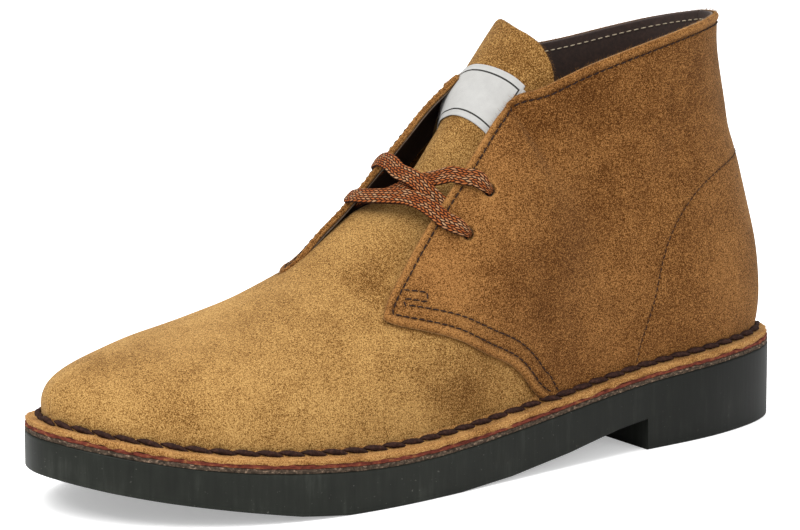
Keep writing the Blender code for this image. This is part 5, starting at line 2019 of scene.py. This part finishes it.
def sole():
    """The moulded rubber and the two worn layers on it."""
    seat = RUNNER_THICK + 2 * GAP

    def over(rise):
        return lambda d: sole_top(d) + rise

    slab("outsole_moulded", "outsole", 0.0, tread, sole_top, 0.0007, "rubber_scoured")
    slab(
        "runner_worn", "runner", RUNNER_INSET, over(0.05 * MM), over(GAP + RUNNER_THICK),
        0.0003, "runner_mottled", rows=420, wear=0.0022,
    )
    slab(
        "midsole_worn", "midsole", MIDSOLE_INSET, over(seat - GAP * 0.8), over(seat + MIDSOLE_THICK),
        0.0003, "midsole_cut_edge", rows=420, wear=0.0035,
    )


def insole():
    """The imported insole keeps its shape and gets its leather."""
    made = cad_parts["insole"]
    made.data.materials.clear()
    made.data.materials.append(finish("insole_plain"))
    return made


def length_property(name, description, default):
    return FloatProperty(name=name, description=description, default=default, unit="LENGTH")


def colour_property(name, description, default):
    return FloatVectorProperty(
        name=name, description=description, default=default, subtype="COLOR", size=3, min=0.0, max=1.0
    )


class BootSizes(bpy.types.PropertyGroup):
    """Sizes of the sewing that a user may change."""

    stitch_pitch: length_property("Stitch pitch", "From one stitch to the next on the upper", 2.75 * MM)
    thread_thick: length_property("Thread", "Thickness of the upper's thread", 0.47 * MM)
    welt_pitch: length_property("Welt pitch", "From one welt stitch to the next", 8.0 * MM)
    welt_thread: length_property("Welt thread", "Thickness of the waxed welt thread", 2.2 * MM)


class BootColours(bpy.types.PropertyGroup):
    """Ground colours of the finishes."""

    vamp: colour_property("Vamp", "Suede of the vamp and tongue", (0.272, 0.145, 0.0435))
    quarter: colour_property("Quarter", "Suede of the quarters", (0.165, 0.0700, 0.0188))
    cut_edge: colour_property("Cut edge", "Raw edges of the suede", (0.33, 0.165, 0.052))
    lining: colour_property("Lining", "Leather of the lining", (0.025, 0.0118, 0.0078))
    rubber: colour_property("Rubber", "Rubber of the sole", (0.0100, 0.0112, 0.0088))
    runner: colour_property("Runner", "Thin layer over the rubber", (0.060, 0.042, 0.029))
    midsole: colour_property("Midsole", "Edge of the leather midsole", (0.115, 0.026, 0.016))
    lace: colour_property("Lace", "Main yarn of the lace", (0.26, 0.062, 0.015))
    thread: colour_property("Thread", "Thread of the upper's seams", (0.022, 0.014, 0.012))
    welt_thread: colour_property("Welt thread", "Waxed thread of the welt", (0.026, 0.011, 0.008))


class BOOT_OT_studio(bpy.types.Operator):
    """Add the floor, the lights and the camera"""

    bl_idname = "boot.studio"
    bl_label = "Studio"

    def execute(self, context):
        studio()
        return {"FINISHED"}


class BOOT_OT_sole(bpy.types.Operator):
    """Add the rubber sole and the layers on it"""

    bl_idname = "boot.sole"
    bl_label = "Sole"

    def execute(self, context):
        sole()
        insole()
        return {"FINISHED"}


class BOOT_OT_vamp(bpy.types.Operator):
    """Add the vamp, which runs on as the tongue"""

    bl_idname = "boot.vamp"
    bl_label = "Vamp and tongue"

    def execute(self, context):
        vamp_and_tongue()
        return {"FINISHED"}


class BOOT_OT_quarters(bpy.types.Operator):
    """Add both quarters and their lining"""

    bl_idname = "boot.quarters"
    bl_label = "Quarters"

    def execute(self, context):
        for side in (1, -1):
            quarter(side)
            lining(side)
        return {"FINISHED"}


class BOOT_OT_flange(bpy.types.Operator):
    """Add the upper's turned-out margin"""

    bl_idname = "boot.flange"
    bl_label = "Margin on the welt"

    def execute(self, context):
        flange()
        return {"FINISHED"}


class BOOT_OT_stitches(bpy.types.Operator):
    """Add every row of stitches"""

    bl_idname = "boot.stitches"
    bl_label = "Stitches"

    def execute(self, context):
        upper_stitches()
        lining_stitches()
        welt_stitches()
        return {"FINISHED"}


class BOOT_OT_fibres(bpy.types.Operator):
    """Add the loose fibres of the cut edges"""

    bl_idname = "boot.fibres"
    bl_label = "Edge fibres"

    def execute(self, context):
        edge_fibres()
        welt_fibres()
        return {"FINISHED"}


class BOOT_OT_lace(bpy.types.Operator):
    """Add the lace through its eyelets"""

    bl_idname = "boot.lace"
    bl_label = "Lace"

    def execute(self, context):
        lace()
        return {"FINISHED"}


class BOOT_OT_label(bpy.types.Operator):
    """Add the blank label on the tongue"""

    bl_idname = "boot.label"
    bl_label = "Label"

    def execute(self, context):
        label()
        return {"FINISHED"}


OPERATORS = (
    BOOT_OT_studio,
    BOOT_OT_sole,
    BOOT_OT_vamp,
    BOOT_OT_quarters,
    BOOT_OT_flange,
    BOOT_OT_stitches,
    BOOT_OT_fibres,
    BOOT_OT_lace,
    BOOT_OT_label,
)


class BOOT_PT_panel(bpy.types.Panel):
    """Lists the boot's sizes, colours and pieces"""

    bl_idname = "BOOT_PT_panel"
    bl_label = "Chukka boot"
    bl_space_type = "VIEW_3D"
    bl_region_type = "UI"
    bl_category = "Boot"

    def draw(self, context):
        for group in (context.scene.boot_sizes, context.scene.boot_colours):
            box = self.layout.box()
            for name in group.__annotations__:
                box.prop(group, name)
        for operator in OPERATORS:
            self.layout.operator(operator.bl_idname)


CLASSES = (BootSizes, BootColours, *OPERATORS, BOOT_PT_panel)


def register():
    for made in CLASSES:
        bpy.utils.register_class(made)
    bpy.types.Scene.boot_sizes = PointerProperty(type=BootSizes)
    bpy.types.Scene.boot_colours = PointerProperty(type=BootColours)


def unregister():
    del bpy.types.Scene.boot_colours
    del bpy.types.Scene.boot_sizes
    for made in reversed(CLASSES):
        bpy.utils.unregister_class(made)


def main():
    register()
    for operator in OPERATORS:
        group, name = operator.bl_idname.split(".")
        getattr(getattr(bpy.ops, group), name)()


if __name__ == "__main__":
    main()
